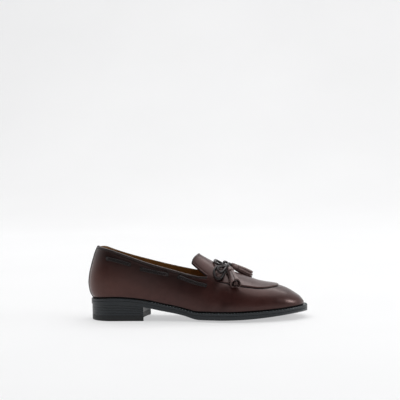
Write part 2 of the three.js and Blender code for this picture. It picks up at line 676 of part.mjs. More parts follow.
function asGeometry(manifold) {
  const mesh = manifold.getMesh();
  const geometry = new THREE.BufferGeometry();
  geometry.setAttribute('position', new THREE.BufferAttribute(new Float32Array(mesh.vertProperties), 3));
  geometry.setIndex(new THREE.BufferAttribute(new Uint32Array(mesh.triVerts), 1));
  geometry.computeVertexNormals();
  return geometry;
}

function cordGeometry(points) {
  const path = new THREE.CatmullRomCurve3(points, false, 'centripetal');
  const section = new THREE.Shape(Array.from({ length: CORD_SIDES }, (unused, k) => {
    const angle = k / CORD_SIDES * 2 * Math.PI;
    return new THREE.Vector2(Math.cos(angle), Math.sin(angle)).multiplyScalar(BOW_CORD / 2);
  }));
  return new THREE.ExtrudeGeometry(section, {
    steps: (points.length - 1) * CORD_STEPS_PER_POINT,
    extrudePath: path,
  });
}

// The frame of a tassel: its head beside the knot, and the point that its strips' ends reach
const TASSELS = {
  lateral: {
    head: { at: 0.647, climb: 0.846, side: LATERAL, over: 2.15 },
    end: { at: 0.688, climb: 0.488, side: LATERAL, over: 2.9 },
  },
  medial: {
    head: { at: 0.645, climb: 0.9, side: MEDIAL, over: 2.25 },
    end: { at: 0.739, climb: 0.62, side: MEDIAL, over: 2.3 },
  },
};

function tasselFrame(row) {
  const head = overSkin(row.head);
  const direction = overSkin(row.end).sub(head).normalize();
  return { head, direction, end: head.clone().addScaledVector(direction, TASSEL_LENGTH) };
}

function bowGeometry() {
  const knotPlace = overSkin(KNOT);
  const knot = new THREE.SphereGeometry(0.5, 14, 8);
  knot.scale(KNOT_LENGTH, KNOT_WIDTH, KNOT_HEIGHT);
  const slope = outward(KNOT.at, KNOT.climb, KNOT.side);
  knot.applyQuaternion(new THREE.Quaternion().setFromUnitVectors(new THREE.Vector3(0, 0, 1), slope));
  knot.translate(...knotPlace.toArray());
  let bow = asManifold(knot);
  const cords = BOW_LOOPS.map(loop => [knotPlace, ...loop.map(overSkin), knotPlace]);
  for (const row of Object.values(TASSELS)) {
    const { head, direction } = tasselFrame(row);
    const tail = head.clone().addScaledVector(direction, -GAP);
    const before = head.clone().addScaledVector(direction, -BOW_CORD);
    cords.push([knotPlace, before, tail]);
  }
  for (const cord of cords) bow = bow.add(asManifold(cordGeometry(cord)));
  // The union can leave specks of next to no volume
  const speck = Math.pow(BOW_CORD / 10, 3);
  return asGeometry(wasm.Manifold.compose(bow.decompose().filter(body => body.volume() > speck)));
}

// A tassel: a bound head, then cut strips round a rolled core, hollow at the end.
// Each row gives the share of the length, the radius between neck and end, and the depth of the cuts.
const TASSEL_PROFILE = [
  { along: 0.0, spread: -0.45, cut: 0 },
  { along: 0.04, spread: 0.05, cut: 0 },
  { along: 0.16, spread: 0.1, cut: 0 },
  { along: 0.18, spread: -0.15, cut: 0 },
  { along: 0.22, spread: -0.15, cut: 0 },
  { along: 0.24, spread: 0.15, cut: 0.3 },
  { along: 0.45, spread: 0.45, cut: 0.8 },
  { along: 0.75, spread: 0.8, cut: 1.0 },
  { along: 1.0, spread: 1.0, cut: 1.0 },
  { along: 0.99, spread: 0.2, cut: 0.4 },
  { along: 0.85, spread: 0.0, cut: 0 },
];
const TASSEL_CUT = 0.16;
const TASSEL_POINTS = 3;

function tasselGeometry(row) {
  const { head, direction } = tasselFrame(row);
  const turn = new THREE.Quaternion().setFromUnitVectors(new THREE.Vector3(0, 0, 1), direction);
  const count = TASSEL_STRIPS * TASSEL_POINTS;
  const rings = TASSEL_PROFILE.map(({ along, spread, cut }) => {
    const radius = mix(TASSEL_NECK_RADIUS, TASSEL_END_RADIUS, spread);
    return Array.from({ length: count + 1 }, (unused, k) => {
      const index = k % count;
      const angle = index / count * 2 * Math.PI;
      const inCut = index % TASSEL_POINTS === 0 ? 1 - TASSEL_CUT * cut : 1;
      return new THREE.Vector3(Math.cos(angle), Math.sin(angle), 0).multiplyScalar(radius * inCut)
        .setZ(along * TASSEL_LENGTH).applyQuaternion(turn).add(head);
    });
  });
  return tube(rings, true);
}

const leather = { color: 0x3b2a29, roughness: 0.35 };
const darkLeather = { color: 0x1c1718, roughness: 0.4 };
const soleBlack = { color: 0x22282b, roughness: 0.45 };
const insoleTan = { color: 0x6b4a26, roughness: 0.7 };

const shoe = new THREE.Group();
shoe.position.x = -HEEL_REST;

function add(name, geometry, look) {
  const mesh = new THREE.Mesh(geometry, new THREE.MeshStandardMaterial({ metalness: 0, ...look }));
  mesh.name = name;
  shoe.add(mesh);
}

add('outsole', outsoleGeometry(), soleBlack);
add('welt', weltGeometry(), soleBlack);
add('insole', insoleGeometry(), insoleTan);
add('upper', upperGeometry(), leather);

const heelSeat = x => underside(x / SOLE_LENGTH) - GAP;
const liftPlane = share => x => mix(TOP_PIECE_THICKNESS, heelSeat(x), share);
for (let i = 0; i < LIFT_COUNT; i += 1) {
  const bottom = x => liftPlane(i / LIFT_COUNT)(x) + GAP / 2;
  const top = x => liftPlane((i + 1) / LIFT_COUNT)(x) - GAP / 2;
  add(`heel_lift_${LIFT_COUNT - i}`, heelLayer(bottom, top), soleBlack);
}
add('top_piece', heelLayer(() => 0, () => TOP_PIECE_THICKNESS - GAP / 2), soleBlack);

add('back_strip', backStripGeometry(), darkLeather);
for (const [name, side] of [['lateral', LATERAL], ['medial', MEDIAL]]) {
  SIDE_LACES.forEach((row, i) => add(`side_lace_${name}_${i + 1}`, sideLaceGeometry(row, side), darkLeather));
}
add('bow', bowGeometry(), darkLeather);
for (const [name, row] of Object.entries(TASSELS)) add(`tassel_${name}`, tasselGeometry(row), leather);

export default shoe;
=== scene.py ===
# %% [markdown]
# # A leather tassel loafer
#
# A CAD model gives this shoe its true sizes: its solids stand in millimetres from one set of named
# lengths. This lesson dresses that model. It rebuilds the leather upper, the sole, the braided lace,
# the bow and the tassels as fine meshes in the same place, and gives each one a material made from nodes.
#
# The shoe is for the right foot. +X runs to the toe, +Y to the inner side and +Z up, and the floor is at
# z = 0. Blender works in metres, so a length in millimetres is multiplied by `MM` at the very end.

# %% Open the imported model
import math

import bpy
import numpy as np
from mathutils import Matrix, Vector


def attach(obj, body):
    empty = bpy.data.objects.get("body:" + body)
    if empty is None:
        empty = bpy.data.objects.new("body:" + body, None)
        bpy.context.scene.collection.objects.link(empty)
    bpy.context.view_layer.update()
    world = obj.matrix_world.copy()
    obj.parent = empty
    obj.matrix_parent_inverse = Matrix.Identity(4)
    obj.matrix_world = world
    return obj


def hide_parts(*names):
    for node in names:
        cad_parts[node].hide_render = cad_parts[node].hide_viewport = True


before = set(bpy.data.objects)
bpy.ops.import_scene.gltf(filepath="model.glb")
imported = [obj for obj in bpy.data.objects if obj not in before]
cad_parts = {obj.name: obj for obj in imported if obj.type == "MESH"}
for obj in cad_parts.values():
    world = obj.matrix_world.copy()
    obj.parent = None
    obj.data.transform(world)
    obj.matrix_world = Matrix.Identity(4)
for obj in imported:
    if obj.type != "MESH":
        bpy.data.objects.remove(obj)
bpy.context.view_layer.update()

MM = 0.001

# %% [markdown]
# ## The camera
#
# The picture was taken from the outer side of the shoe, a little towards the toe and just above the sole,
# with a long lens. The camera is built from three angles: how far it is turned to the toe, how far it
# looks down, and how far it rolls. A direction for each of its axes makes its matrix.

# %% Place the camera
CAMERA_PLACE = (304.2, -1521.6, 235.7)
TURNED_TO_TOE = math.radians(7.0)
LOOKS_DOWN = math.radians(2.76)
ROLL = math.radians(-1.3)
LENS_MM = 100.8

forward = Vector((-math.sin(TURNED_TO_TOE), math.cos(TURNED_TO_TOE), -math.tan(LOOKS_DOWN))).normalized()
level = Vector((math.cos(TURNED_TO_TOE), math.sin(TURNED_TO_TOE), 0))
above = level.cross(forward)
right = level * math.cos(ROLL) + above * math.sin(ROLL)
up = above * math.cos(ROLL) - level * math.sin(ROLL)

camera_data = bpy.data.cameras.new("camera")
camera_data.lens = LENS_MM
camera_data.sensor_width = 36
camera_data.clip_end = 60
camera = bpy.data.objects.new("camera", camera_data)
turned = Matrix((right, up, -forward)).transposed().to_4x4()
camera.matrix_world = Matrix.Translation(Vector(CAMERA_PLACE) * MM) @ turned
bpy.context.collection.objects.link(camera)
bpy.context.scene.camera = camera
print("camera:", LENS_MM, "mm lens, looking along", [round(x, 3) for x in forward])

# %% [markdown]
# ## The last
#
# A shoe is pulled over a last, so its shape is a rule and not a sculpture. Short tables give that rule at a
# few stations between heel (0) and toe (1), and a smooth curve runs through each column. The same tables
# made the CAD solids, so every piece here lands where its solid is.

# %% Named sizes in millimetres
LATERAL = -1
MEDIAL = 1
SOLE_LENGTH = 298.0
BALL_WIDTH = 102.0
HEEL_HEIGHT = 21.8
TOE_SPRING = 8.8
OUTSOLE_THICKNESS = 8.0
OUTSOLE_EDGE_LIFT = 2.8
TREAD_FLAT = 0.4
WELT_THICKNESS = 3.3
WELT_MARGIN = 5.2
INSOLE_THICKNESS = 3.0
INSOLE_TOE_SETBACK = 5.0
TOP_PIECE_THICKNESS = 7.4
LIFT_COUNT = 4
HEEL_LENGTH = 77.0
HEEL_BREAST_HOLLOW = 5.5
HEEL_INSET = 0.8
HEEL_REST = 37.0
BACK_HEIGHT = 98.0
BACK_SWELL = 5.8
SIDE_SWELL = 4.0
NOSE_SWELL = 0.6
NOSE_HEIGHT = 17.0
VAMP_RISE = 65.0
WALL = 2.0
GAP = 0.3
HEEL_ROUND = 0.11
HEEL_ROUND_ABOVE = 0.4
TOE_ROUND = 0.3
BACK_REACH = 0.33
NOSE_REACH = 0.12
PROBE = 0.002


# %% Tables with named columns
def table(columns, *rows):
    """A short table as one array for each named column."""
    return dict(zip(columns.split(), np.array(rows, float).T))


PLAN = table(
    "at middle half",
    (0.0, 0.0, 0.318), (0.12, 0.0, 0.318), (0.25, -0.007, 0.309), (0.36, -0.027, 0.3),
    (0.45, -0.039, 0.316), (0.55, -0.045, 0.384), (0.62, -0.03, 0.447), (0.68, -0.008, 0.487),
    (0.73, 0.012, 0.5), (0.8, 0.031, 0.5), (0.88, 0.045, 0.5), (1.0, 0.054, 0.5),
)
SOLE_LINE = table(
    "at lift spring body ledge",
    (0.0, 1.0, 0, 0.44, 0.55), (0.13, 0.99, 0, 0.75, 0.55), (0.25, 0.885, 0, 0.66, 0.55),
    (0.3, 0.75, 0, 0.68, 0.55), (0.35, 0.58, 0, 0.73, 0.55), (0.4, 0.42, 0, 0.8, 0.6),
    (0.45, 0.24, 0, 0.85, 0.7), (0.48, 0.1, 0, 0.92, 0.8), (0.5, 0.03, 0, 0.96, 0.88),
    (0.52, 0, 0, 0.99, 0.94), (0.56, 0, 0, 1.0, 1.0), (0.61, 0, 0, 1.0, 1.0),
    (0.66, 0, 0.04, 0.99, 1.0), (0.73, 0, 0.13, 0.96, 1.0), (0.8, 0, 0.28, 0.9, 1.0),
    (0.88, 0, 0.53, 0.79, 1.0), (0.95, 0, 0.8, 0.68, 1.0), (1.0, 0, 1.0, 0.58, 1.0),
)
LAST = table(
    "at ridge swell aside side top",
    (0.0, 1.47, 0.3, 0, 1.0, 1.0), (0.07, 1.51, 0.8, 0, 1.0, 1.0), (0.14, 1.555, 0.9, 0.003, 1.0, 1.0),
    (0.21, 1.58, 0.9, 0.01, 1.0, 1.0), (0.28, 1.55, 0.9, 0.015, 1.0, 1.0), (0.36, 1.45, 0.9, 0.02, 1.0, 1.0),
    (0.43, 1.31, 1.0, 0.022, 1.0, 1.0), (0.497, 1.19, 1.0, 0.025, 1.0, 1.0),
    (0.54, 1.08, 1.0, 0.026, 1.0, 1.0), (0.587, 0.962, 1.0, 0.028, 0.98, 0.98),
    (0.625, 0.858, 1.0, 0.029, 0.97, 0.97), (0.663, 0.772, 1.0, 0.029, 0.96, 0.96),
    (0.715, 0.671, 0.9, 0.032, 0.94, 0.95), (0.756, 0.603, 0.9, 0.036, 0.93, 0.95),
    (0.787, 0.551, 0.8, 0.039, 0.92, 0.94), (0.82, 0.514, 0.8, 0.042, 0.91, 0.93),
    (0.853, 0.483, 0.7, 0.045, 0.9, 0.92), (0.881, 0.446, 0.7, 0.048, 0.9, 0.91),
    (0.902, 0.409, 0.6, 0.05, 0.9, 0.9), (0.922, 0.366, 0.6, 0.051, 0.9, 0.9),
    (0.94, 0.318, 0.5, 0.052, 0.9, 0.9), (0.957, 0.265, 0.4, 0.052, 0.9, 0.9),
    (0.978, 0.195, 0.3, 0.053, 0.9, 0.9), (0.99, 0.13, 0.2, 0.054, 0.9, 0.9),
    (1.0, 0.065, 0.1, 0.054, 0.9, 0.9),
)
BACK = table(
    "at out",
    (0.0, 0), (0.11, 0.67), (0.27, 1.0), (0.35, 0.98), (0.51, 0.69), (0.67, 0.2),
    (0.8, -0.27), (0.92, -0.75), (1.0, -1.2),
)
NOSE = table("at out", (0.0, 0), (0.3, 1), (0.6, 0.7), (1.0, -0.7))
TOPLINE = table(
    "at lateral medial",
    (0.0, 1.015, 1.015), (0.03, 1.022, 1.008), (0.075, 1.004, 0.96), (0.12, 0.97, 0.918),
    (0.175, 0.917, 0.87), (0.225, 0.862, 0.829), (0.287, 0.8, 0.782), (0.35, 0.744, 0.735),
    (0.41, 0.693, 0.694), (0.466, 0.645, 0.659), (0.508, 0.619, 0.637), (0.556, 0.609, 0.622),
)
THROAT = 0.556
APRON_FRONT = 0.884
APRON_BEND = 0.73
APRON_EDGE = table("at climb", (0.556, 0.49), (0.69, 0.545), (0.77, 0.597), (0.884, 0.635))
APRON_RISE_START = 0.6
APRON_RISE_END = 0.68
TONGUE_TIP = 0.505
TONGUE_CORNER = 0.468
TONGUE_CORNER_CLIMB = 0.59
TONGUE_ROUND = 0.014


# %% [markdown]
# A curve through a column is a cubic Hermite spline: at every row it takes the slope between the two
# neighbours. NumPy reads it for a whole array of stations at once, which keeps the script quick.

# %% Smooth curves through the columns
def curve(rows, column):
    """A smooth function through one column of a table."""
    at, value = rows["at"], rows[column]
    slope = np.empty_like(value)
    slope[1:-1] = (value[2:] - value[:-2]) / (at[2:] - at[:-2])
    slope[0] = (value[1] - value[0]) / (at[1] - at[0])
    slope[-1] = (value[-1] - value[-2]) / (at[-1] - at[-2])

    def read(x):
        x = np.asarray(x, float)
        i = np.clip(np.searchsorted(at, x) - 1, 0, len(at) - 2)
        span = at[i + 1] - at[i]
        t = (x - at[i]) / span
        c = np.clip(t, 0, 1)
        inside = (
            (2 * c**3 - 3 * c**2 + 1) * value[i]
            + (c**3 - 2 * c**2 + c) * slope[i] * span
            + (3 * c**2 - 2 * c**3) * value[i + 1]
            + (c**3 - c**2) * slope[i + 1] * span
        )
        before = np.where(t < 0, slope[i] * t * span, 0)
        beyond = np.where(t > 1, slope[i + 1] * (t - 1) * span, 0)
        return inside + before + beyond

    return read


plan_middle = curve(PLAN, "middle")
plan_half = curve(PLAN, "half")
sole_lift = curve(SOLE_LINE, "lift")
sole_spring = curve(SOLE_LINE, "spring")
sole_body = curve(SOLE_LINE, "body")
sole_ledge = curve(SOLE_LINE, "ledge")
ridge_rise = curve(LAST, "ridge")
side_swell = curve(LAST, "swell")
ridge_aside = curve(LAST, "aside")
side_fullness = curve(LAST, "side")
top_fullness = curve(LAST, "top")
back_out = curve(BACK, "out")
nose_out = curve(NOSE, "out")
topline_height = {LATERAL: curve(TOPLINE, "lateral"), MEDIAL: curve(TOPLINE, "medial")}
apron_climb = curve(APRON_EDGE, "climb")
print("half width at the ball:", round(float(plan_half(0.73)) * BALL_WIDTH, 1), "mm")

# %% [markdown]
# Four small helpers come back all through the lesson: a mix of two values, a soft step, and the length
# and the direction of vectors. They work on whole arrays, like the curves.

# %% Small helpers
def mix(a, b, t):
    return a + (b - a) * t


def ease(value, low, high):
    """0 below low, 1 above high and smooth between them."""
    t = np.clip((value - low) / (high - low), 0, 1)
    return t * t * (3 - 2 * t)


def length_of(vectors):
    return np.linalg.norm(vectors, axis=-1, keepdims=True)


def unit(vectors):
    return vectors / np.maximum(length_of(vectors), 1e-12)


print("a soft step at a quarter of its way:", ease(0.25, 0, 1))

# %% [markdown]
# The **sole's outline** is a middle line with half a width on each side, rounded off at heel and toe. Its
# heights are curves too: the underside lifts over the heel and at the toe, and each layer lies on the
# one below. Every other piece of the shoe is placed from these few functions.

# %% The sole's outline and heights
def end_round(at, heel_round):
    """0 at the very ends of the outline and 1 where it runs free."""
    heel = np.clip(1 - at / heel_round, 0, 1)
    toe = np.clip((at - 1 + TOE_ROUND) / TOE_ROUND, 0, 1)
    return np.sqrt((1 - heel * heel) * (1 - toe * toe))


def middle(at):
    return plan_middle(at) * BALL_WIDTH


def ledge(at):
    return sole_ledge(at) * WELT_MARGIN


def plan_x(at, inset):
    return mix(inset, SOLE_LENGTH - inset, at)


def plan_point(at, inset, side, reach, height):
    """A point inside the outline. Reach is 0 on the middle line and 1 on the edge."""
    at = np.asarray(at, float)
    half = (plan_half(at) * BALL_WIDTH - inset) * end_round(at, HEEL_ROUND)
    x = plan_x(at, inset)
    return np.stack([x, middle(at) + side * half * reach, height(x / SOLE_LENGTH)], -1)


def underside(at):
    return np.maximum(sole_lift(at), 0) * HEEL_HEIGHT + np.maximum(sole_spring(at), 0) * TOE_SPRING


def outsole_top(at):
    return underside(at) + sole_body(at) * OUTSOLE_THICKNESS


def welt_top(at):
    return outsole_top(at) + GAP + WELT_THICKNESS


def feather(at):
    """The line where the upper meets the welt."""
    return welt_top(at) + GAP


print("the upper starts", round(float(feather(0.0)), 1), "mm over the floor at the heel")

# %% [markdown]
# The **skin** is the outer surface of the leather on the last. A place on it is a station along the sole
# and a climb from the welt to the ridge. At each station the section is a rounded arch between the width
# of the sole and the height of the ridge, so the surface has no seams and can be read at any place.

# %% The skin of the upper
def rise(at):
    return ridge_rise(at) * VAMP_RISE


def skin(at, climb, side):
    """A point on the outer skin. Climb goes from 0 at the welt to 1 on the ridge."""
    at, climb = np.broadcast_arrays(np.asarray(at, float), np.asarray(climb, float))
    angle = np.clip(climb, 0, 1) * np.pi / 2
    height = np.sin(angle) ** top_fullness(at) * rise(at)
    narrowing = np.maximum(np.cos(angle), 0) ** side_fullness(at)
    inset = ledge(at)
    swell = SIDE_SWELL * side_swell(at) * np.sin(2 * angle)
    half = (plan_half(at) * BALL_WIDTH - inset) * narrowing + swell
    half = half * end_round(at, HEEL_ROUND * mix(HEEL_ROUND_ABOVE, 1, narrowing))
    back_share = height / (BACK_HEIGHT - feather(0))
    back = -BACK_SWELL * back_out(back_share) * np.clip(1 - at / BACK_REACH, 0, 1) ** 2
    nose_share = np.minimum(height / NOSE_HEIGHT, 1)
    nose = NOSE_SWELL * nose_out(nose_share) * np.clip(1 - (1 - at) / NOSE_REACH, 0, 1) ** 2
    centre = mix(middle(at), ridge_aside(at) * BALL_WIDTH, np.sin(angle))
    foot_x = plan_x(at, inset)
    return np.stack([foot_x + back + nose, centre + side * half, feather(foot_x / SOLE_LENGTH) + height], -1)


def outward(at, climb, side):
    """The outward direction of the skin there."""
    at, climb = np.broadcast_arrays(np.asarray(at, float), np.asarray(climb, float))
    along = skin(np.minimum(at + PROBE, 1), climb, side) - skin(np.maximum(at - PROBE, 0), climb, side)
    upward = skin(at, np.minimum(climb + PROBE, 1), side) - skin(at, np.maximum(climb - PROBE, 0), side)
    return unit(np.cross(along, upward) * -side)


def shared_outward(at, climb, side):
    """On the back seam, the toe and the ridge the two sides share their direction."""
    at, climb = np.broadcast_arrays(np.asarray(at, float), np.asarray(climb, float))
    own = outward(at, climb, side)
    both = unit(outward(at, climb, LATERAL) + outward(at, climb, MEDIAL))
    shared = ((at <= 0) | (at >= 1) | (climb >= 1))[..., None]
    return np.where(shared, both, own)


def layer(at, climb, side, depth):
    """A point at a depth below the outer skin."""
    return skin(at, climb, side) - shared_outward(at, climb, side) * np.asarray(depth, float)[..., None]


def topline_climb(at, side):
    height = topline_height[side](at) * BACK_HEIGHT - feather(at)
    return np.arcsin(np.clip(height / rise(at), 0, 1) ** (1 / top_fullness(at))) * 2 / np.pi


def skirt_edge(at, side):
    """The climb of the topline, of the apron's edge in front of the throat, and of the ridge at the toe."""
    at = np.asarray(at, float)
    bend = np.clip((at - APRON_BEND) / (APRON_FRONT - APRON_BEND), 0, 1)
    apron_side = 1 - (1 - apron_climb(at)) * np.sqrt(1 - bend**3)
    apron = mix(topline_climb(THROAT, side), apron_side, ease(at, THROAT, APRON_RISE_END))
    return np.where(at >= APRON_FRONT, 1.0, np.where(at > THROAT, apron, topline_climb(at, side)))


throat_corner = skin(THROAT, topline_climb(THROAT, LATERAL), LATERAL)
print("the throat lies", round(float(throat_corner[2]), 1), "mm over the floor")

# %% [markdown]
# ## From points to meshes
#
# Every surface below is a grid of points. One function turns a few grids that share their borders into
# one mesh: it joins the faces, welds the points that fall together and shades the result smooth. A grid
# says which way its faces look and which material it has.

# %% Meshes from grids
def weld(vertices, faces, materials):
    """Joins the points that fall together and drops the faces that vanish."""
    keys = np.round(np.asarray(vertices) / 0.002).astype(np.int64)
    _, first, index = np.unique(keys, axis=0, return_index=True, return_inverse=True)
    index = index.reshape(-1)
    kept, kept_materials = [], []
    for face, material in zip(faces, materials):
        corners = list(dict.fromkeys(index[c] for c in face))
        if len(corners) > 2:
            kept.append(corners)
            kept_materials.append(material)
    return np.asarray(vertices)[first], kept, kept_materials


def grid_faces(rows, columns, start, flipped):
    corner = start + np.arange(rows - 1)[:, None] * columns + np.arange(columns - 1)[None, :]
    quads = np.stack([corner, corner + columns, corner + columns + 1, corner + 1], -1).reshape(-1, 4)
    return quads[:, ::-1] if flipped else quads


def in_metres(points):
    """From millimetres along the sole to Blender's metres from the middle of the heel."""
    return (np.asarray(points) - np.array([HEEL_REST, 0, 0])) * MM


def piece(name, grids, materials, moved=True):
    """A mesh object from grids of points in millimetres: (points, flipped, material number)."""
    vertices, faces, numbers = [], [], []
    start = 0
    for points, flipped, number in grids:
        points = np.asarray(points, float)
        quads = grid_faces(points.shape[0], points.shape[1], start, flipped)
        faces.extend(quads.tolist())
        numbers.extend([number] * len(quads))
        vertices.append(points.reshape(-1, 3))
        start += points.shape[0] * points.shape[1]
    vertices, faces, numbers = weld(np.concatenate(vertices), faces, numbers)
    mesh = bpy.data.meshes.new(name)
    mesh.from_pydata((in_metres(vertices) if moved else vertices * MM).tolist(), [], faces)
    for material in materials:
        mesh.materials.append(material)
    mesh.polygons.foreach_set("material_index", numbers)
    mesh.polygons.foreach_set("use_smooth", [True] * len(faces))
    mesh.update()
    made = bpy.data.objects.new(name, mesh)
    bpy.context.collection.objects.link(made)
    return made


def apply_modifiers(made):
    """Turns an object with modifiers into a plain mesh."""
    bpy.context.view_layer.update()
    evaluated = made.evaluated_get(bpy.context.evaluated_depsgraph_get())
    mesh = bpy.data.meshes.new_from_object(evaluated)
    made.modifiers.clear()
    made.data = mesh
    mesh.name = made.name
    return made


def soften(made, width, segments=3, angle=40):
    """Rounds the sharp edges of a piece, as a file and sandpaper do. Width is in millimetres."""
    bevel = made.modifiers.new("soft_edges", "BEVEL")
    bevel.width = width * MM
    bevel.segments = segments
    bevel.limit_method = "ANGLE"
    bevel.angle_limit = math.radians(angle)
    bevel.harden_normals = True
    return apply_modifiers(made)


def in_shoe(made, solid=None):
    """Rides a piece on the shoe's one body. It may replace a CAD solid, which is then hidden."""
    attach(made, "root")
    if solid:
        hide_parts(solid)


# %% [markdown]
# ## Materials
#
# Each material is named for what the real one is. Colours are written as sRGB hex values, as a colour
# picker shows them, and one function turns them to the linear values that the shader wants. Patterns use
# Object coordinates, which are metres here, so a noise of scale 1000 / 30 has features of about 30 mm.

# %% A colour and a node
def linear(code):
    """The linear colour of an sRGB hex code."""
    parts = [int(code[i : i + 2], 16) / 255 for i in (0, 2, 4)]
    return tuple(p / 12.92 if p <= 0.04045 else ((p + 0.055) / 1.055) ** 2.4 for p in parts) + (1.0,)


def node(tree, kind, inputs=None, **settings):
    """Adds a node with its settings. An input is a value, or a socket to link from."""
    made = tree.nodes.new(kind)
    for key, value in settings.items():
        setattr(made, key, value)
    for key, value in (inputs or {}).items():
        if isinstance(value, bpy.types.NodeSocket):
            tree.links.new(value, made.inputs[key])
        else:
            made.inputs[key].default_value = value
    return made


def material(name):
    """A new material with its shader, and the shoe's own coordinates in metres."""
    made = bpy.data.materials.new(name)
    made.use_nodes = True
    tree = made.node_tree
    tree.nodes.clear()
    shader = node(tree, "ShaderNodeBsdfPrincipled")
    node(tree, "ShaderNodeOutputMaterial", {"Surface": shader.outputs["BSDF"]})
    place = node(tree, "ShaderNodeTexCoord").outputs["Object"]
    return made, tree, shader, place


def noise(tree, place, size, detail=3.0, roughness=0.5):
    """Noise with features of about that size in millimetres."""
    made = node(tree, "ShaderNodeTexNoise", {"Vector": place, "Scale": 1000 / size, "Detail": detail,
                                             "Roughness": roughness})
    return made.outputs["Fac"]


def ramp(tree, value, *stops):
    """A colour ramp from (position, hex code) stops."""
    made = node(tree, "ShaderNodeValToRGB", {"Fac": value})
    stops_made = made.color_ramp.elements
    for i, (position, code) in enumerate(stops):
        stop = stops_made[i] if i < 2 else stops_made.new(position)
        stop.position = position
        stop.color = linear(code)
    return made.outputs["Color"]


def spread(tree, value, low, high, to_low, to_high):
    """Maps a range of a value to another one."""
    made = node(tree, "ShaderNodeMapRange", {"Value": value, "From Min": low, "From Max": high,
                                             "To Min": to_low, "To Max": to_high})
    return made.outputs["Result"]


def blend(tree, share, first, second):
    """A colour between two others."""
    return node(tree, "ShaderNodeMix", {0: share, 6: first, 7: second}, data_type="RGBA").outputs[2]


def finish(shader, settings):
    """Sets several of the shader's inputs, such as its coat."""
    for key, value in settings.items():
        shader.inputs[key].default_value = value


def relief(tree, shader, height, depth, strength=1.0, under=None):
    """A bump of that depth in millimetres."""
    inputs = {"Height": height, "Distance": depth * MM, "Strength": strength}
    if under is not None:
        inputs["Normal"] = under
    made = node(tree, "ShaderNodeBump", inputs)
    tree.links.new(made.outputs["Normal"], shader.inputs["Normal"])
    return made.outputs["Normal"]


LEATHER_IOR = 1.5
print("a mid grey picked as 808080 is", round(linear("808080")[0], 3), "for the shader")

# %% [markdown]
# The upper is **polished calf**: fine-grained leather, dyed a dark oxblood and waxed. Its dye is uneven in
# soft clouds, its grain is a net of cells under a millimetre wide, and the wax gives a clear, soft gloss.
# On the quarters a band under the topline is darkened: that is painted shade.

# %% Polished calf for the upper
TOPLINE_FALL = Vector((0.31, 0.0, 1.0)).normalized()
WARM_HEEL = linear("5e372d")


def calf(name, dark, middle_tone, light, grain=0.8, gloss=0.34, deep="1a0d0c",
         painted_top_shade=0.0, warm_heel=0.0, sheen="ffd6d0"):
    """Waxed calf. Grain is in millimetres, and sheen is the colour that its reflections take. On the quarters
    the colour can be darkened near the topline towards the deep tone, as painted shade.
    """
    made, tree, shader, place = material(name)
    clouds = noise(tree, place, 42, detail=4.0, roughness=0.55)
    dye = ramp(tree, clouds, (0.32, dark), (0.68, light), (0.5, middle_tone))
    fine = noise(tree, place, 3.5, detail=5.0, roughness=0.6)
    shade = blend(tree, 0.2, dye, ramp(tree, fine, (0.35, dark), (0.65, light)))
    # The distance under a plane along the topline, for the painted shade near it
    under = node(tree, "ShaderNodeVectorMath", {0: place, 1: TOPLINE_FALL}, operation="DOT_PRODUCT")
    along = node(tree, "ShaderNodeSeparateXYZ", {"Vector": place}).outputs["X"]
    on_quarters = spread(tree, along, 0.09, 0.125, painted_top_shade, 0.0)
    near_top = spread(tree, under.outputs["Value"], 0.05, 0.081, 0.0, 1.0)
    burnished = node(tree, "ShaderNodeMath", {0: near_top, 1: on_quarters}, operation="MULTIPLY").outputs[0]
    # Towards the heel the colour is mixed with a lighter, warmer brown
    at_heel = spread(tree, along, 0.07, -0.045, 0.0, warm_heel)
    warm = blend(tree, at_heel, shade, WARM_HEEL)
    # Painted shade: burnished here is its weight near the topline on the quarters, and deep is its colour
    tree.links.new(blend(tree, burnished, warm, linear(deep)), shader.inputs["Base Color"])
    tree.links.new(spread(tree, noise(tree, place, 16), 0.3, 0.7, gloss - 0.05, gloss + 0.07),
                   shader.inputs["Roughness"])
    finish(shader, {"IOR": LEATHER_IOR, "Specular Tint": linear(sheen), "Coat Weight": 0.12,
                    "Coat Roughness": 0.22})
    cells = node(tree, "ShaderNodeTexVoronoi", {"Vector": place, "Scale": 1000 / grain}, feature="SMOOTH_F1")
    pores = relief(tree, shader, cells.outputs["Distance"], 0.05, 0.5)
    relief(tree, shader, noise(tree, place, 9, detail=2.0), 0.35, 0.4, pores)
    return made


# The upper's calf, with painted shade near the topline of the quarters
upper_leather = calf("polished_calf_oxblood", "281311", "371d1a", "432623", painted_top_shade=0.95,
                     warm_heel=0.5)
# The tassels' calf is lighter than the upper's: painted light, for the light from above that falls on them
tassel_leather = calf("rolled_calf_strips", "3e2e2c", "5d4845", "7a6460", grain=0.6, gloss=0.4,
                      sheen="ffe8e4")
strip_leather = calf("polished_calf_black_brown", "0d0808", "150d0d", "1e1414", gloss=0.46, sheen="ffe4e0")
print("calf:", upper_leather.name, tassel_leather.name, strip_leather.name)


# %% [markdown]
# The **cut edges** are dyed and waxed nearly black, and the same near-black is painted as shade: under the
# apron's raised edge, on its step, where the upper tucks into the welt, and partly along the tongue's edge.
# The **lining** is vegetable-tanned leather in ochre, with no polish, so it is rougher. The **lace** is a
# waxed cord of the same leather as the edges, and the stitches are waxed linen thread.

# %% Edge dye and painted shade, lining, lace and thread
def plain_leather(name, dark, light, rough, grain, depth, coat=0.0, polish=0.5):
    made, tree, shader, place = material(name)
    tree.links.new(ramp(tree, noise(tree, place, 14, detail=5.0), (0.3, dark), (0.7, light)),
                   shader.inputs["Base Color"])
    tree.links.new(spread(tree, noise(tree, place, 5), 0.3, 0.7, rough - 0.06, rough + 0.08),
                   shader.inputs["Roughness"])
    finish(shader, {"IOR": LEATHER_IOR, "Specular IOR Level": polish, "Coat Weight": coat,
                    "Coat Roughness": 0.25})
    cells = node(tree, "ShaderNodeTexVoronoi", {"Vector": place, "Scale": 1000 / grain}, feature="SMOOTH_F1")
    relief(tree, shader, cells.outputs["Distance"], depth, 0.6)
    return made
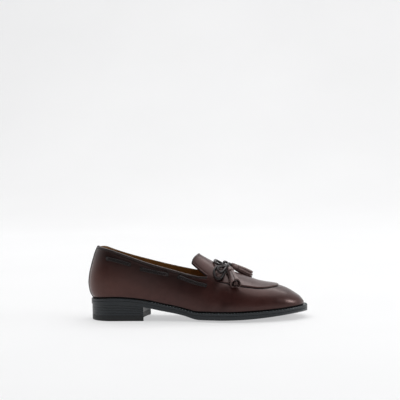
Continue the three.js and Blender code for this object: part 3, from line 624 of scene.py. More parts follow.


# The cut edges' near-black, also used as painted shade on the upper
edge_dye_and_shade = plain_leather("waxed_cut_edge_and_painted_shade", "0b0708", "151010", 0.5, 0.5, 0.05, polish=0.25)
lining_leather = plain_leather("tanned_lining", "7a5528", "9c7038", 0.62, 0.9, 0.05)
insole_leather = plain_leather("tanned_insole", "6a441c", "87592a", 0.58, 0.8, 0.05, coat=0.1)
lace_leather = plain_leather("waxed_lace_leather", "100a0a", "221516", 0.4, 0.6, 0.05, coat=0.08, polish=0.3)
thread = plain_leather("waxed_linen_thread", "1c1312", "2c201d", 0.5, 0.3, 0.04)
print("plain:", [made.name for made in (edge_dye_and_shade, lining_leather, insole_leather, lace_leather, thread)])

# %% [markdown]
# The sole's edge is **blackened and burnished leather**: pressed fibres in thin level layers, inked
# blue-black, then ironed with wax. The layers show as faint lines that run round the shoe. The top piece
# under the heel is black rubber. The ribs that the wheel leaves on the welt are paler than the welt.

# %% Burnished sole leather and rubber
def burnished(name, dark, light, rough, coat):
    made, tree, shader, place = material(name)
    flat = node(tree, "ShaderNodeMapping", {"Vector": place, "Scale": (1.0, 1.0, 14.0)}).outputs["Vector"]
    fibres = noise(tree, flat, 9, detail=6.0, roughness=0.65)
    tree.links.new(ramp(tree, fibres, (0.3, dark), (0.72, light)), shader.inputs["Base Color"])
    tree.links.new(spread(tree, fibres, 0.3, 0.7, rough - 0.05, rough + 0.08), shader.inputs["Roughness"])
    finish(shader, {"IOR": LEATHER_IOR, "Coat Weight": coat, "Coat Roughness": 0.3})
    relief(tree, shader, fibres, 0.12, 0.6)
    return made


sole_leather = burnished("burnished_sole_edge", "0a1116", "141e25", 0.42, 0.12)
welt_leather = burnished("burnished_welt", "0b1217", "162027", 0.4, 0.12)
heel_rubber = burnished("black_heel_rubber", "121415", "1b1e20", 0.55, 0.0)
wheel_wax = burnished("waxed_wheel_marks", "4e575a", "6e777a", 0.35, 0.3)
print("sole:", [made.name for made in (sole_leather, welt_leather, heel_rubber, wheel_wax)])

# %% [markdown]
# ## What repeats: stitches, wheel marks and laces
#
# Two small Geometry Nodes trees make everything that follows a path. The first puts a row of rounded
# grains along it, turned with the path: with one size they are stitches, with another the marks that the
# welt wheel presses in. The second turns paths into round strands, for the braid and the bow.
# Both end in Realize Instances and Set Material, and the result is turned into a plain mesh.

# %% Build the two trees
def new_tree(name, sockets):
    """An empty Geometry Nodes tree with named inputs."""
    tree = bpy.data.node_groups.new(name, "GeometryNodeTree")
    tree.interface.new_socket("Geometry", in_out="INPUT", socket_type="NodeSocketGeometry")
    for label, kind in sockets:
        tree.interface.new_socket(label, in_out="INPUT", socket_type=kind)
    tree.interface.new_socket("Geometry", in_out="OUTPUT", socket_type="NodeSocketGeometry")
    return tree, node(tree, "NodeGroupInput").outputs


def close_tree(tree, geometry, surface):
    """The end of every tree: real meshes, smooth, with their material."""
    real = node(tree, "GeometryNodeRealizeInstances", {"Geometry": geometry})
    smooth = node(tree, "GeometryNodeSetShadeSmooth", {"Geometry": real.outputs["Geometry"]})
    dressed = node(tree, "GeometryNodeSetMaterial", {"Geometry": smooth.outputs["Geometry"],
                                                     "Material": surface})
    node(tree, "NodeGroupOutput", {"Geometry": dressed.outputs["Geometry"]})
    return tree


def grain_row_tree():
    tree, given = new_tree("row_of_grains", [
        ("Spacing", "NodeSocketFloat"), ("Size", "NodeSocketVector"),
        ("Fineness", "NodeSocketInt"), ("Material", "NodeSocketMaterial"),
    ])
    path = node(tree, "GeometryNodeMeshToCurve", {"Mesh": given["Geometry"]})
    upright = node(tree, "GeometryNodeSetCurveNormal", {"Curve": path.outputs["Curve"]})
    upright.mode = "Z_UP"
    points = node(tree, "GeometryNodeCurveToPoints",
                  {"Curve": upright.outputs["Curve"], "Length": given["Spacing"]}, mode="LENGTH")
    block = node(tree, "GeometryNodeMeshCube", {"Size": given["Size"]})
    grain = node(tree, "GeometryNodeSubdivisionSurface",
                 {"Mesh": block.outputs["Mesh"], "Level": given["Fineness"]})
    row = node(tree, "GeometryNodeInstanceOnPoints", {"Points": points.outputs["Points"],
                                                      "Instance": grain.outputs["Mesh"],
                                                      "Rotation": points.outputs["Rotation"]})
    return close_tree(tree, row.outputs["Instances"], given["Material"])


def strand_tree():
    tree, given = new_tree("round_strands", [("Radius", "NodeSocketFloat"), ("Sides", "NodeSocketInt"),
                                             ("Material", "NodeSocketMaterial")])
    path = node(tree, "GeometryNodeMeshToCurve", {"Mesh": given["Geometry"]})
    section = node(tree, "GeometryNodeCurvePrimitiveCircle", {"Resolution": given["Sides"],
                                                              "Radius": given["Radius"]})
    tube = node(tree, "GeometryNodeCurveToMesh",
                {"Curve": path.outputs["Curve"], "Profile Curve": section.outputs["Curve"],
                 "Fill Caps": True})
    return close_tree(tree, tube.outputs["Mesh"], given["Material"])


grain_rows = grain_row_tree()
round_strands = strand_tree()
print("trees:", grain_rows.name, round_strands.name)

# %% [markdown]
# A tree runs on a mesh of edges alone, one for each path. A modifier would build it again at each change,
# so the result is turned into a plain mesh at once.

# %% Run a tree along paths
def paths_object(name, paths):
    """An object whose edges are the given paths, in millimetres."""
    points, edges = [], []
    for path in paths:
        start = len(points)
        points.extend(np.asarray(path, float).tolist())
        edges.extend((start + i, start + i + 1) for i in range(len(path) - 1))
    mesh = bpy.data.meshes.new(name)
    mesh.from_pydata(in_metres(points).tolist(), edges, [])
    made = bpy.data.objects.new(name, mesh)
    bpy.context.collection.objects.link(made)
    return made


def sized(sizes):
    """A size in millimetres as the vector that a tree takes."""
    return tuple(x * MM for x in sizes)


def grow(made, tree, values):
    """Runs a tree on an object and keeps the result as its plain mesh."""
    modifier = made.modifiers.new("grown", "NODES")
    modifier.node_group = tree
    for item in tree.interface.items_tree:
        if item.in_out == "INPUT" and item.name in values:
            modifier[item.identifier] = values[item.name]
    apply_modifiers(made)
    print(f"{made.name}: {len(made.data.polygons)} faces")
    return made


# %% [markdown]
# ## The bow and its tassels
#
# The cords come first, because their length has to be right. A round leather cord of 3.4 mm comes out of
# the instep under the knot on each side, makes two loops, and ends in a tassel. Its route repeats the
# points of the CAD solid: each is given by its station, its climb, its side and its height over the
# leather in cord widths.

# %% The route of each cord
BOW_CORD = 3.4
KNOT = (0.634, 0.89, LATERAL, 1.35)
LATERAL_LOOPS = [
    [(0.614, 0.857, LATERAL, 0.9), (0.596, 0.771, LATERAL, 0.9), (0.587, 0.67, LATERAL, 0.8),
     (0.588, 0.59, LATERAL, 0.7), (0.597, 0.53, LATERAL, 0.7), (0.613, 0.527, LATERAL, 0.7),
     (0.625, 0.582, LATERAL, 0.7), (0.63, 0.683, LATERAL, 0.8), (0.633, 0.79, LATERAL, 0.9)],
    [(0.622, 0.82, LATERAL, 1.8), (0.609, 0.747, LATERAL, 2.1), (0.6, 0.695, LATERAL, 2.2),
     (0.599, 0.645, LATERAL, 2.1), (0.606, 0.622, LATERAL, 1.9), (0.617, 0.641, LATERAL, 1.8),
     (0.626, 0.72, LATERAL, 1.7), (0.631, 0.81, LATERAL, 1.8)],
]
MEDIAL_LOOPS = [
    [(0.618, 0.95, MEDIAL, 0.9), (0.6, 0.88, MEDIAL, 1.05), (0.585, 0.85, MEDIAL, 1.05),
     (0.578, 0.93, MEDIAL, 0.8), (0.58, 0.93, LATERAL, 0.7), (0.589, 0.86, LATERAL, 0.9),
     (0.602, 0.86, LATERAL, 1.1), (0.618, 0.89, LATERAL, 1.4)],
    [(0.62, 0.98, MEDIAL, 1.4), (0.613, 0.96, MEDIAL, 1.9), (0.613, 0.9, MEDIAL, 2.2),
     (0.62, 0.86, MEDIAL, 2.4), (0.629, 0.86, MEDIAL, 2.1), (0.634, 0.92, MEDIAL, 1.5)],
]
TASSEL_LENGTH = 38.0
TASSEL_HEADS = {"lateral": (0.647, 0.846, LATERAL, 2.15), "medial": (0.645, 0.9, MEDIAL, 2.25)}
TASSEL_ENDS = {"lateral": (0.688, 0.488, LATERAL, 2.9), "medial": (0.739, 0.62, MEDIAL, 2.3)}


def over_skin(row):
    at, climb, side, over = row
    return layer(at, climb, side, -over * BOW_CORD)


def smooth_path(points, steps):
    """A Catmull-Rom path through points, with that many steps between two of them."""
    points = np.asarray(points, float)
    before = np.vstack([2 * points[0] - points[1], points[:-2]])
    after = np.vstack([points[2:], 2 * points[-1] - points[-2]])
    made = []
    for p0, p1, p2, p3 in zip(before, points[:-1], points[1:], after):
        for t in np.arange(steps) / steps:
            made.append(0.5 * (2 * p1 + (p2 - p0) * t + (2 * p0 - 5 * p1 + 4 * p2 - p3) * t**2
                               + (3 * p1 - p0 - 3 * p2 + p3) * t**3))
    return np.array(made + [points[-1]])


knot_place = over_skin(KNOT)
knot_up = outward(KNOT[0], KNOT[1], KNOT[2])
knot_across = unit(np.array([0.0, 1.0, 0.0]) - knot_up * knot_up[1])
knot_along = np.cross(knot_across, knot_up)


def cord_route(loops, tassel, side):
    """From the leather under the knot, through the loops, to the tassel's head."""
    start = knot_place - knot_up * BOW_CORD * 1.1 + knot_across * side * 2.0
    route = [start, knot_place - knot_up * 1.2 + knot_across * side * 1.0]
    for i, loop in enumerate(loops):
        route += [over_skin(row) for row in loop]
        route.append(knot_place + knot_across * side * (1.4 - i) + knot_up * (0.9 * i))
    head = over_skin(TASSEL_HEADS[tassel])
    along = unit(over_skin(TASSEL_ENDS[tassel]) - head)
    route += [head - along * BOW_CORD * 1.4, head + along * 1.5]
    return smooth_path(route, 8)


def travelled(path):
    return float(np.linalg.norm(np.diff(path, axis=0), axis=1).sum())


cord_routes = {"lateral": cord_route(LATERAL_LOOPS, "lateral", LATERAL),
               "medial": cord_route(MEDIAL_LOOPS, "medial", MEDIAL)}
cords = {}
for side_name, route in cord_routes.items():
    cords[side_name] = grow(paths_object(f"bow_cord_{side_name}", [route]), round_strands,
                            {"Radius": BOW_CORD / 2 * MM, "Sides": 16, "Material": lace_leather})
    print(f"bow cord {side_name}: {travelled(route):.0f} mm")

# %% [markdown]
# The knot is a few turns of the same cord round the crossing. A helix whose axis runs across the shoe
# gives it: wide along the instep and flat on the leather.

# %% The knot
KNOT_TURNS = 3
KNOT_HALF = np.array([2.6, 1.9])
turns = np.linspace(0, KNOT_TURNS * 2 * np.pi, KNOT_TURNS * 20 + 1)
knot_path = (
    knot_place
    + np.outer(np.linspace(-3.3, 3.3, len(turns)), knot_across)
    + np.outer(np.cos(turns) * KNOT_HALF[0], knot_along)
    + np.outer(np.sin(turns) * KNOT_HALF[1], knot_up)
)
knot = grow(paths_object("bow_knot", [knot_path]), round_strands,
            {"Radius": 1.45 * MM, "Sides": 14, "Material": lace_leather})

# %% [markdown]
# A **tassel** is a strip of leather with a fringe cut into it, rolled up and bound at the neck. Its head
# is turned on an axis like a bead. Its fringe is one strip, repeated round the neck in two rings by a
# third tree, which tilts and stretches each copy a little with a fixed seed.

# %% The tree for a ring of strips
STRIP_LEAN = (0.6, 1.0, 0.5)


def fringe_tree():
    tree, given = new_tree("ring_of_strips", [("Count", "NodeSocketInt"), ("Radius", "NodeSocketFloat"),
                                              ("Tilt", "NodeSocketFloat"), ("Seed", "NodeSocketInt"),
                                              ("Material", "NodeSocketMaterial")])
    ring = node(tree, "GeometryNodeMeshCircle", {"Vertices": given["Count"], "Radius": given["Radius"]})
    number = node(tree, "GeometryNodeInputIndex").outputs["Index"]
    turn = node(tree, "ShaderNodeMath", {0: number, 1: given["Count"]}, operation="DIVIDE").outputs["Value"]
    angle = node(tree, "ShaderNodeMath", {0: turn, 1: 2 * math.pi}, operation="MULTIPLY").outputs["Value"]
    loose = node(tree, "FunctionNodeRandomValue", {"Min": tuple(-x for x in STRIP_LEAN), "Max": STRIP_LEAN,
                                                   "Seed": given["Seed"]}, data_type="FLOAT_VECTOR")
    lean = node(tree, "ShaderNodeVectorMath", {0: loose.outputs["Value"]}, operation="SCALE")
    tree.links.new(given["Tilt"], lean.inputs["Scale"])
    facing = node(tree, "ShaderNodeCombineXYZ", {"Z": angle}).outputs["Vector"]
    turned = node(tree, "ShaderNodeVectorMath", {0: facing, 1: lean.outputs["Vector"]}, operation="ADD")
    size = node(tree, "FunctionNodeRandomValue", {2: 0.93, 3: 1.03, "Seed": given["Seed"]}, data_type="FLOAT")
    scale = node(tree, "ShaderNodeCombineXYZ", {"X": 1.0, "Y": 1.0, "Z": size.outputs[1]}).outputs["Vector"]
    strips = node(tree, "GeometryNodeInstanceOnPoints",
                  {"Points": ring.outputs["Mesh"], "Instance": given["Geometry"],
                   "Rotation": turned.outputs["Vector"], "Scale": scale})
    return close_tree(tree, strips.outputs["Instances"], given["Material"])


fringe_rings = fringe_tree()
print("tree:", fringe_rings.name, "with", len(fringe_rings.nodes), "nodes")

# %% Parts of a tassel
TASSEL_NECK_RADIUS = 3.5
STRIP_START = 0.29
HEAD = table(
    "along radius",
    (0.0, 0.05), (0.0, 0.5), (0.01, 0.78), (0.04, 0.98), (0.1, 1.12), (0.19, 1.2), (0.25, 1.22),
    (0.262, 1.14), (0.267, 0.96), (0.287, 0.96), (0.292, 1.14), (0.31, 1.16), (0.31, 0.05),
)


def fringe_strip(name, start_radius, end_radius, start_width, end_width, end):
    """One cut strip on the +X side of the axis, bent round it, 0.95 mm thick."""
    share = np.linspace(0, 1, 10)
    along = mix(STRIP_START, end, share) * TASSEL_LENGTH
    radius = mix(start_radius, end_radius, share) + 0.35 * np.sin(share * np.pi)
    half_angle = mix(start_width, end_width, share) / 2 / radius
    across = np.array([-1.0, -0.93, -0.5, 0.0, 0.5, 0.93, 1.0])
    outer = across[:, None] * half_angle[None, :]
    thick = 0.475 * np.array([0.55, 1, 1, 1, 1, 1, 0.55])[:, None]

    def bent(offset):
        return np.stack([np.cos(outer) * (radius + offset), np.sin(outer) * (radius + offset),
                         np.broadcast_to(along, outer.shape)], -1)

    face, back = bent(thick), bent(-thick)
    return piece(name, [
        (face, False, 0), (back, True, 0),
        (np.stack([face[0], back[0]]), False, 0), (np.stack([face[-1], back[-1]]), True, 0),
        (np.stack([face[:, 0], back[:, 0]]), True, 0), (np.stack([face[:, -1], back[:, -1]]), False, 0),
    ], [tassel_leather], moved=False)


def rolled_core(name):
    """The middle of the roll: a spiral of leather whose end shows."""
    turn = np.linspace(0, 3.3 * 2 * np.pi, 67)
    along = np.array([STRIP_START, 0.6, 0.985]) * TASSEL_LENGTH
    opened = mix(0.7, 1, (along / TASSEL_LENGTH - STRIP_START) / (1 - STRIP_START))

    def side(offset):
        radius = mix(0.55, 2.9, turn / turn[-1]) * opened[:, None] + offset
        height = np.broadcast_to(along[:, None], radius.shape)
        return np.stack([radius * np.cos(turn), radius * np.sin(turn), height], -1).transpose(1, 0, 2)

    outside, inside = side(0.22), side(-0.22)
    return piece(name, [
        (outside, False, 0), (inside, True, 0),
        (np.stack([outside[:, -1], inside[:, -1]]), False, 0),
        (np.stack([outside[0], inside[0]]), False, 0), (np.stack([outside[-1], inside[-1]]), True, 0),
    ], [tassel_leather], moved=False)


def rows_of(rows):
    """The rows of a table, each as its values in the order of the columns."""
    return zip(*rows.values())


def join(name, parts):
    """Joins several objects of one material into the first one."""
    for other in parts[1:]:
        other.data.materials.clear()
        other.data.materials.append(parts[0].data.materials[0])
    with bpy.context.temp_override(active_object=parts[0], selected_editable_objects=parts,
                                   selected_objects=parts):
        bpy.ops.object.join()
    parts[0].name = name
    parts[0].data.name = name
    return parts[0]


# %% [markdown]
# The pieces of a tassel are made round the upright axis at the origin, joined, and then turned and moved
# to the end of their cord. The near one fans out more than the far one, as they lie in the picture.

# %% Make and place the tassels
FRINGE = table("strips slack start_radius end_radius start_width end_width end tilt",
               (8, 0.15, 3.75, 7.2, 2.6, 4.3, 1.0, 0.05), (6, 0.1, 2.5, 5.3, 2.0, 3.4, 0.97, 0.04))


def tassel(side_name, seed, flare):
    rings = []
    for number, row in enumerate(rows_of(FRINGE)):
        strips, slack, start_radius, end_radius, start_width, end_width, end, tilt = row
        strip = fringe_strip(f"strip_{side_name}_{number}", start_radius,
                             mix(start_radius, end_radius, flare), start_width,
                             mix(start_width, end_width, flare), end)
        rings.append(grow(strip, fringe_rings, {
            "Count": int(strips), "Radius": slack * MM, "Tilt": tilt * flare,
            "Seed": seed + number, "Material": tassel_leather,
        }))
    around = np.linspace(0, 2 * np.pi, 33)
    head = np.array([[(r * TASSEL_NECK_RADIUS * math.cos(a), r * TASSEL_NECK_RADIUS * math.sin(a),
                       z * TASSEL_LENGTH) for a in around] for z, r in rows_of(HEAD)])
    made = join(f"tassel_{side_name}_dressed",
                [piece(f"head_{side_name}", [(head, True, 0)], [tassel_leather], moved=False),
                 rolled_core(f"core_{side_name}")] + rings)
    place = over_skin(TASSEL_HEADS[side_name])
    direction = Vector(unit(over_skin(TASSEL_ENDS[side_name]) - place))
    turned = direction.to_track_quat("Z", "Y").to_matrix().to_4x4()
    made.data.transform(Matrix.Translation(Vector(in_metres(place))) @ turned)
    return made


tassels = {"lateral": tassel("lateral", 3, 1.0), "medial": tassel("medial", 8, 0.35)}

# %% [markdown]
# A cord can move on the real shoe. Here each cord and its tassel ride on the shoe's one body, and so does
# the knot; each tassel and the knot hide the CAD solid that they replace.

for side_name, route in cord_routes.items():
    in_shoe(cords[side_name])
    in_shoe(tassels[side_name], f"tassel_{side_name}")
in_shoe(knot, "bow")

# %% [markdown]
# ## The upper
#
# The upper is one wall with an outer skin, a lining and a rounded rim between them. The mesh is a grid of
# stations from heel to toe and rows from the topline down. The rows lie close together where something
# happens: at the topline, where the edge is turned and bound, at the apron's raised edge, and at the welt,
# where the leather tucks in. A small table gives the relief over each distance from such an edge.

# %% Relief over the distance from an edge, in millimetres
TOPLINE_BAND = table(
    "far raised",
    (0.0, -0.5), (0.25, -0.1), (0.6, 0.25), (1.1, 0.45), (1.8, 0.5), (2.5, 0.42), (3.0, 0.1), (3.3, -0.5),
    (3.55, -0.5), (3.85, -0.05), (4.3, 0.25), (5.0, 0.2), (6.5, 0.0),
)
APRON_LIP = table(
    "far raised",
    (0.0, 0.1), (0.25, 0.75), (0.6, 1.2), (1.1, 1.45), (1.9, 1.5), (2.8, 1.3), (4.0, 1.2),
)
APRON_FOOT = table("far raised", (0.0, -0.6), (0.8, -0.58), (1.5, -0.35), (2.6, 0.0))
TONGUE_BAND = table(
    "far raised",
    (0.0, -0.2), (0.3, 0.05), (0.7, 0.25), (1.3, 0.34), (2.2, 0.3), (2.55, -0.05), (2.8, -0.25),
    (3.1, -0.22), (3.5, 0.0), (4.0, 0.0),
)
LINING_EDGE = table("far raised", (0.0, 0.5), (0.4, 0.22), (1.0, 0.05), (2.0, 0.0))
WELT_TUCK = table("far raised", (0.0, -0.6), (0.4, -0.35), (1.0, -0.12), (1.8, 0.0), (3.0, 0.0))


def raised(rows, distance):
    return np.interp(distance, rows["far"], rows["raised"])


print("the binding stands", raised(TOPLINE_BAND, 1.8), "mm proud at its crown")

# %% [markdown]
# The main creases are placed one by one. Each row of the table is one soft trough, or a ridge where its
# depth is negative: where it lies, how it is turned, how long, wide and deep it is in millimetres.

# %% Soft troughs and ridges
SECTION_RADIUS = 55
CREASES = table(
    "at climb turned long wide deep side",
    (0.592, 0.36, 62, 20, 6.0, 0.7, LATERAL), (0.618, 0.3, 66, 17, 4.5, -0.35, LATERAL),
    (0.645, 0.26, 70, 18, 5.0, 0.5, LATERAL), (0.69, 0.3, 40, 16, 5.5, 0.25, LATERAL),
    (0.6, 0.36, -58, 18, 6.0, 0.6, MEDIAL), (0.64, 0.28, -66, 18, 5.0, 0.5, MEDIAL),
    (0.68, 0.25, -60, 15, 5.0, 0.3, MEDIAL), (0.45, 0.3, 12, 26, 8.0, 0.45, LATERAL),
    (0.44, 0.32, -14, 26, 8.0, 0.5, MEDIAL), (0.33, 0.5, 20, 18, 6.0, 0.3, LATERAL),
    (0.1, 0.28, -8, 20, 7.0, 0.35, LATERAL), (0.12, 0.3, 10, 20, 7.0, 0.35, MEDIAL),
)


def creased(at, climb, side):
    """How deep the troughs are at a place on the skin."""
    depth = np.zeros(np.broadcast(at, climb).shape)
    for row_at, row_climb, turn, long, wide, deep, row_side in rows_of(CREASES):
        if row_side != side:
            continue
        x = (at - row_at) * SOLE_LENGTH
        y = (climb - row_climb) * np.pi / 2 * SECTION_RADIUS
        c, s = math.cos(math.radians(turn)), math.sin(math.radians(turn))
        along, across = x * c + y * s, y * c - x * s
        depth = depth + deep * np.exp(-((along / long) ** 2) - (across / wide) ** 2)
    return depth


print("creases:", len(CREASES["at"]))

# %% [markdown]
# The columns of the grid are the stations. They gather at the heel, at the throat, at the front of the
# apron and at the toe, where the shape turns. A row is a distance in millimetres along the skin, so a band
# keeps its width, and the climb for each distance is looked up on a measured line.

# %% Stations and rows
QUARTER_COLUMNS = 110
VAMP_COLUMNS = 100
TOE_COLUMNS = 34
TONGUE_COLUMNS = 26

quarter_at = THROAT * (1 - np.cos(np.linspace(0, np.pi / 2, QUARTER_COLUMNS + 1)))
vamp_at = mix(THROAT, APRON_FRONT, np.sin(np.linspace(0, np.pi / 2, VAMP_COLUMNS + 1)))
toe_at = mix(APRON_FRONT, 1.0, np.sin(np.linspace(0, np.pi / 2, TOE_COLUMNS + 1)))
stations = np.concatenate([quarter_at[:-1], vamp_at[:-1], toe_at])
throat_column = QUARTER_COLUMNS
front_column = QUARTER_COLUMNS + VAMP_COLUMNS
EDGE_ROWS = np.array([0, 0.25, 0.6, 1.1, 1.8, 2.5, 3.0, 3.3, 3.55, 3.85, 4.3, 5.0, 6.5])
WELT_ROWS = np.array([3.0, 1.8, 1.0, 0.4, 0.0])
SKIRT_MIDDLE = 22
CAP_MIDDLE = 14


def climbs_at_distances(at, start, end, side, distances):
    """For each station, the climbs that lie at given distances from start, along the skin towards end."""
    share = np.linspace(0, 1, 121)
    climbs = mix(np.asarray(start)[:, None], np.asarray(end)[:, None], share[None, :])
    along = skin(np.asarray(at)[:, None], climbs, side)
    run = np.concatenate([np.zeros((len(at), 1)), np.cumsum(length_of(np.diff(along, axis=1))[..., 0], 1)], 1)
    return np.array([np.interp(distances(run[i, -1]), run[i], climbs[i]) for i in range(len(at))]), run[:, -1]


def skirt_distances(total):
    near = EDGE_ROWS * min(1, total / 20)
    low = WELT_ROWS * min(1, total / 20)
    return np.concatenate([near, np.linspace(near[-1], total - low[0], SKIRT_MIDDLE + 1)[1:-1], total - low])


def cap_distances(total):
    near = EDGE_ROWS * min(1, total / 14)
    return np.concatenate([near, np.linspace(near[-1], total, CAP_MIDDLE + 1)[1:]])


print("stations:", len(stations), "of which to the throat:", throat_column)

# %% [markdown]
# The relief needs two lines to measure from: the apron's raised edge, and the free edge of the tongue.

# %% The edges that the relief follows
def apron_edge_line(side):
    at = mix(THROAT, APRON_FRONT, np.sin(np.linspace(0, np.pi / 2, 500)))
    return skin(at, skirt_edge(at, side), side)


def tongue_back(share):
    """Station of the tongue's back edge: share is 0 at its corner and 1 on the ridge."""
    return mix(TONGUE_CORNER, TONGUE_TIP, np.sin(share * np.pi / 2)) + TONGUE_ROUND * (1 - share) ** 4


def tongue_side_line(side):
    share = np.linspace(0, 1, 120)
    at = mix(tongue_back(0), THROAT, share)
    return skin(at, mix(TONGUE_CORNER_CLIMB, skirt_edge(np.array([THROAT]), side)[0], share), side)


def tongue_back_line(side):
    share = np.linspace(0, 1, 120)
    return skin(tongue_back(share), mix(TONGUE_CORNER_CLIMB, 1, share), side)


def distance_to(points, line):
    """The distance from each point to the nearest point of a line."""
    flat = points.reshape(-1, 3)
    near = np.full(len(flat), np.inf)
    for part in np.array_split(line, max(1, len(line) // 40)):
        near = np.minimum(near, np.sqrt(((flat[:, None] - part[None]) ** 2).sum(-1)).min(1))
    return near.reshape(points.shape[:-1])


apron_front_line = np.concatenate([apron_edge_line(LATERAL), apron_edge_line(MEDIAL)])
free_edge = np.concatenate([line(side) for side in (LATERAL, MEDIAL)
                            for line in (tongue_side_line, tongue_back_line)])
print("points on the apron's edge:", len(apron_front_line), "and on the tongue's:", len(free_edge))

# %% [markdown]
# Now the two halves are built. The skirt runs from the topline and the apron's edge down to the welt, and
# the cap is the apron with the tongue. Both have an outer and an inner grid, and narrow grids close the
# rims between them. The bound topline, the cut edges and the lining have materials of their own. The cut
# edges' near-black is also painted shade in the skirt's first rows under the apron's edge and its last rows
# at the welt.

# %% Build the upper
def rounded_rim(outer, inner, outer_next, swell=0.6):
    """The middle line of a rounded rim between an outer and an inner line."""
    away = unit(outer - outer_next)
    return (outer + inner) / 2 + away * swell


OUTER, EDGE_DYE_AND_SHADE, LINING, BINDING = 0, 1, 2, 3
BINDING_ROWS = 8
# Rows painted in shade with the cut edges' near-black: at the welt and under the apron's edge
WELT_SHADE_ROWS = 3
SEAM_SHADE_ROWS = 3
grids = []
seam = slice(int(np.searchsorted(stations, APRON_RISE_START)), front_column + 1)
for side in (LATERAL, MEDIAL):
    flip = side == MEDIAL
    edge = skirt_edge(stations, side)
    skirt_climb, skirt_total = climbs_at_distances(stations, edge, np.zeros_like(edge), side, skirt_distances)
    top_run = np.array([skirt_distances(total) for total in skirt_total])
    at = stations[:, None]
    bare = skin(at, skirt_climb, side)
    band = 1 - ease(at, THROAT - 0.006, THROAT)
    near_apron = distance_to(bare, apron_front_line)
    step = ease(at, APRON_RISE_START, APRON_RISE_END)
    lift = (
        raised(TOPLINE_BAND, top_run) * band
        + raised(APRON_FOOT, near_apron) * step
        + raised(WELT_TUCK, skirt_total[:, None] - top_run)
        - creased(at, skirt_climb, side)
    )
    outer = bare + shared_outward(at, skirt_climb, side) * lift[..., None]
    inner_lift = raised(LINING_EDGE, top_run) * band
    inner = bare - shared_outward(at, skirt_climb, side) * (WALL - inner_lift)[..., None]
    quarter = slice(0, throat_column + 1)
    grids += [
        (outer[quarter, :BINDING_ROWS], not flip, BINDING),
        (outer[quarter, BINDING_ROWS - 1 : -WELT_SHADE_ROWS], not flip, OUTER),
        # The skirt's first rows under the apron's raised edge: painted shade in the cut edges' near-black
        (outer[seam, : SEAM_SHADE_ROWS + 1], not flip, EDGE_DYE_AND_SHADE),
        (outer[seam, SEAM_SHADE_ROWS:-WELT_SHADE_ROWS], not flip, OUTER),
        (outer[throat_column : seam.start + 1, :-WELT_SHADE_ROWS], not flip, OUTER),
        (outer[front_column:, :-WELT_SHADE_ROWS], not flip, OUTER),
        # The skirt's last rows, where it tucks into the welt: painted shade in the cut edges' near-black
        (outer[:, -WELT_SHADE_ROWS - 1 :], not flip, EDGE_DYE_AND_SHADE),
        (inner, flip, LINING),
    ]
    grids.append((np.stack([inner[:, -1], outer[:, -1]], 0), not flip, EDGE_DYE_AND_SHADE))
    # The bound rim of the topline
    rim = rounded_rim(outer[quarter, 0], inner[quarter, 0], outer[quarter, 1])
    grids.append((np.stack([outer[quarter, 0], rim, inner[quarter, 0]], 0), not flip, BINDING))

    # The apron and the tongue
    cap_at, cap_edge = [], []
    columns = np.linspace(0, 1, TONGUE_COLUMNS + 1)[:-1]
    throat_edge = skirt_edge(np.array([THROAT]), side)[0]
    for share in columns:
        cap_at.append(lambda climb_share, share=share: mix(tongue_back(climb_share), THROAT, share))
        cap_edge.append(mix(TONGUE_CORNER_CLIMB, throat_edge, share))
    for station in vamp_at:
        cap_at.append(lambda climb_share, station=station: np.full_like(climb_share, station))
        cap_edge.append(skirt_edge(np.array([station]), side)[0])
    cap_edge = np.array(cap_edge)
    probe_at = np.array([float(read(np.array([0.3]))[0]) for read in cap_at])
    cap_climb, _ = climbs_at_distances(probe_at, cap_edge, np.ones_like(cap_edge), side, cap_distances)
    share = (cap_climb - cap_edge[:, None]) / np.maximum(1 - cap_edge[:, None], 1e-9)
    cap_stations = np.array([read(share[i]) for i, read in enumerate(cap_at)])
    bare_cap = skin(cap_stations, cap_climb, side)
    step = ease(cap_stations, APRON_RISE_START, APRON_RISE_END)
    to_apron = distance_to(bare_cap, apron_front_line)
    to_free = distance_to(bare_cap, free_edge)
    free = 1 - ease(cap_stations, THROAT - 0.004, THROAT + 0.004)
    cap_lift = (
        raised(APRON_LIP, to_apron) * step
        + raised(TONGUE_BAND, to_free) * free
        - creased(cap_stations, cap_climb, side)
    )
    outer_cap = bare_cap + shared_outward(cap_stations, cap_climb, side) * cap_lift[..., None]
    cap_depth = WALL - raised(LINING_EDGE, to_free) * free
    inner_cap = bare_cap - shared_outward(cap_stations, cap_climb, side) * cap_depth[..., None]
    grids += [
        # The tongue's cut edge and the first rows inside it: near-black edge dye, partly painted shade
        (outer_cap[:2], flip, EDGE_DYE_AND_SHADE),
        (outer_cap[1 : TONGUE_COLUMNS + 1, :3], flip, EDGE_DYE_AND_SHADE),
        (outer_cap[1 : TONGUE_COLUMNS + 1, 2:], flip, OUTER),
        (outer_cap[TONGUE_COLUMNS:], flip, OUTER),
        (inner_cap, not flip, LINING),
    ]
    # The tongue's rim, the apron's step (painted shade in the cut edges' near-black), and the join under the
    # throat
    tongue = slice(0, TONGUE_COLUMNS + 1)
    side_rim = rounded_rim(outer_cap[tongue, 0], inner_cap[tongue, 0], outer_cap[tongue, 1])
    back_rim = rounded_rim(outer_cap[0], inner_cap[0], outer_cap[1])
    side_rim[0] = back_rim[0]
    side_rim[-1] = (outer_cap[TONGUE_COLUMNS, 0] + inner_cap[TONGUE_COLUMNS, 0]) / 2
    grids.append((np.stack([outer_cap[tongue, 0], side_rim, inner_cap[tongue, 0]], 0), flip, EDGE_DYE_AND_SHADE))
    grids.append((np.stack([outer_cap[0], back_rim, inner_cap[0]], 0), not flip, EDGE_DYE_AND_SHADE))
    front = slice(throat_column, front_column + 1)
    grids.append((np.stack([outer[front, 0], outer_cap[TONGUE_COLUMNS:, 0]], 0), not flip, EDGE_DYE_AND_SHADE))
    grids.append((np.stack([inner[front, 0], inner_cap[TONGUE_COLUMNS:, 0]], 0), flip, LINING))

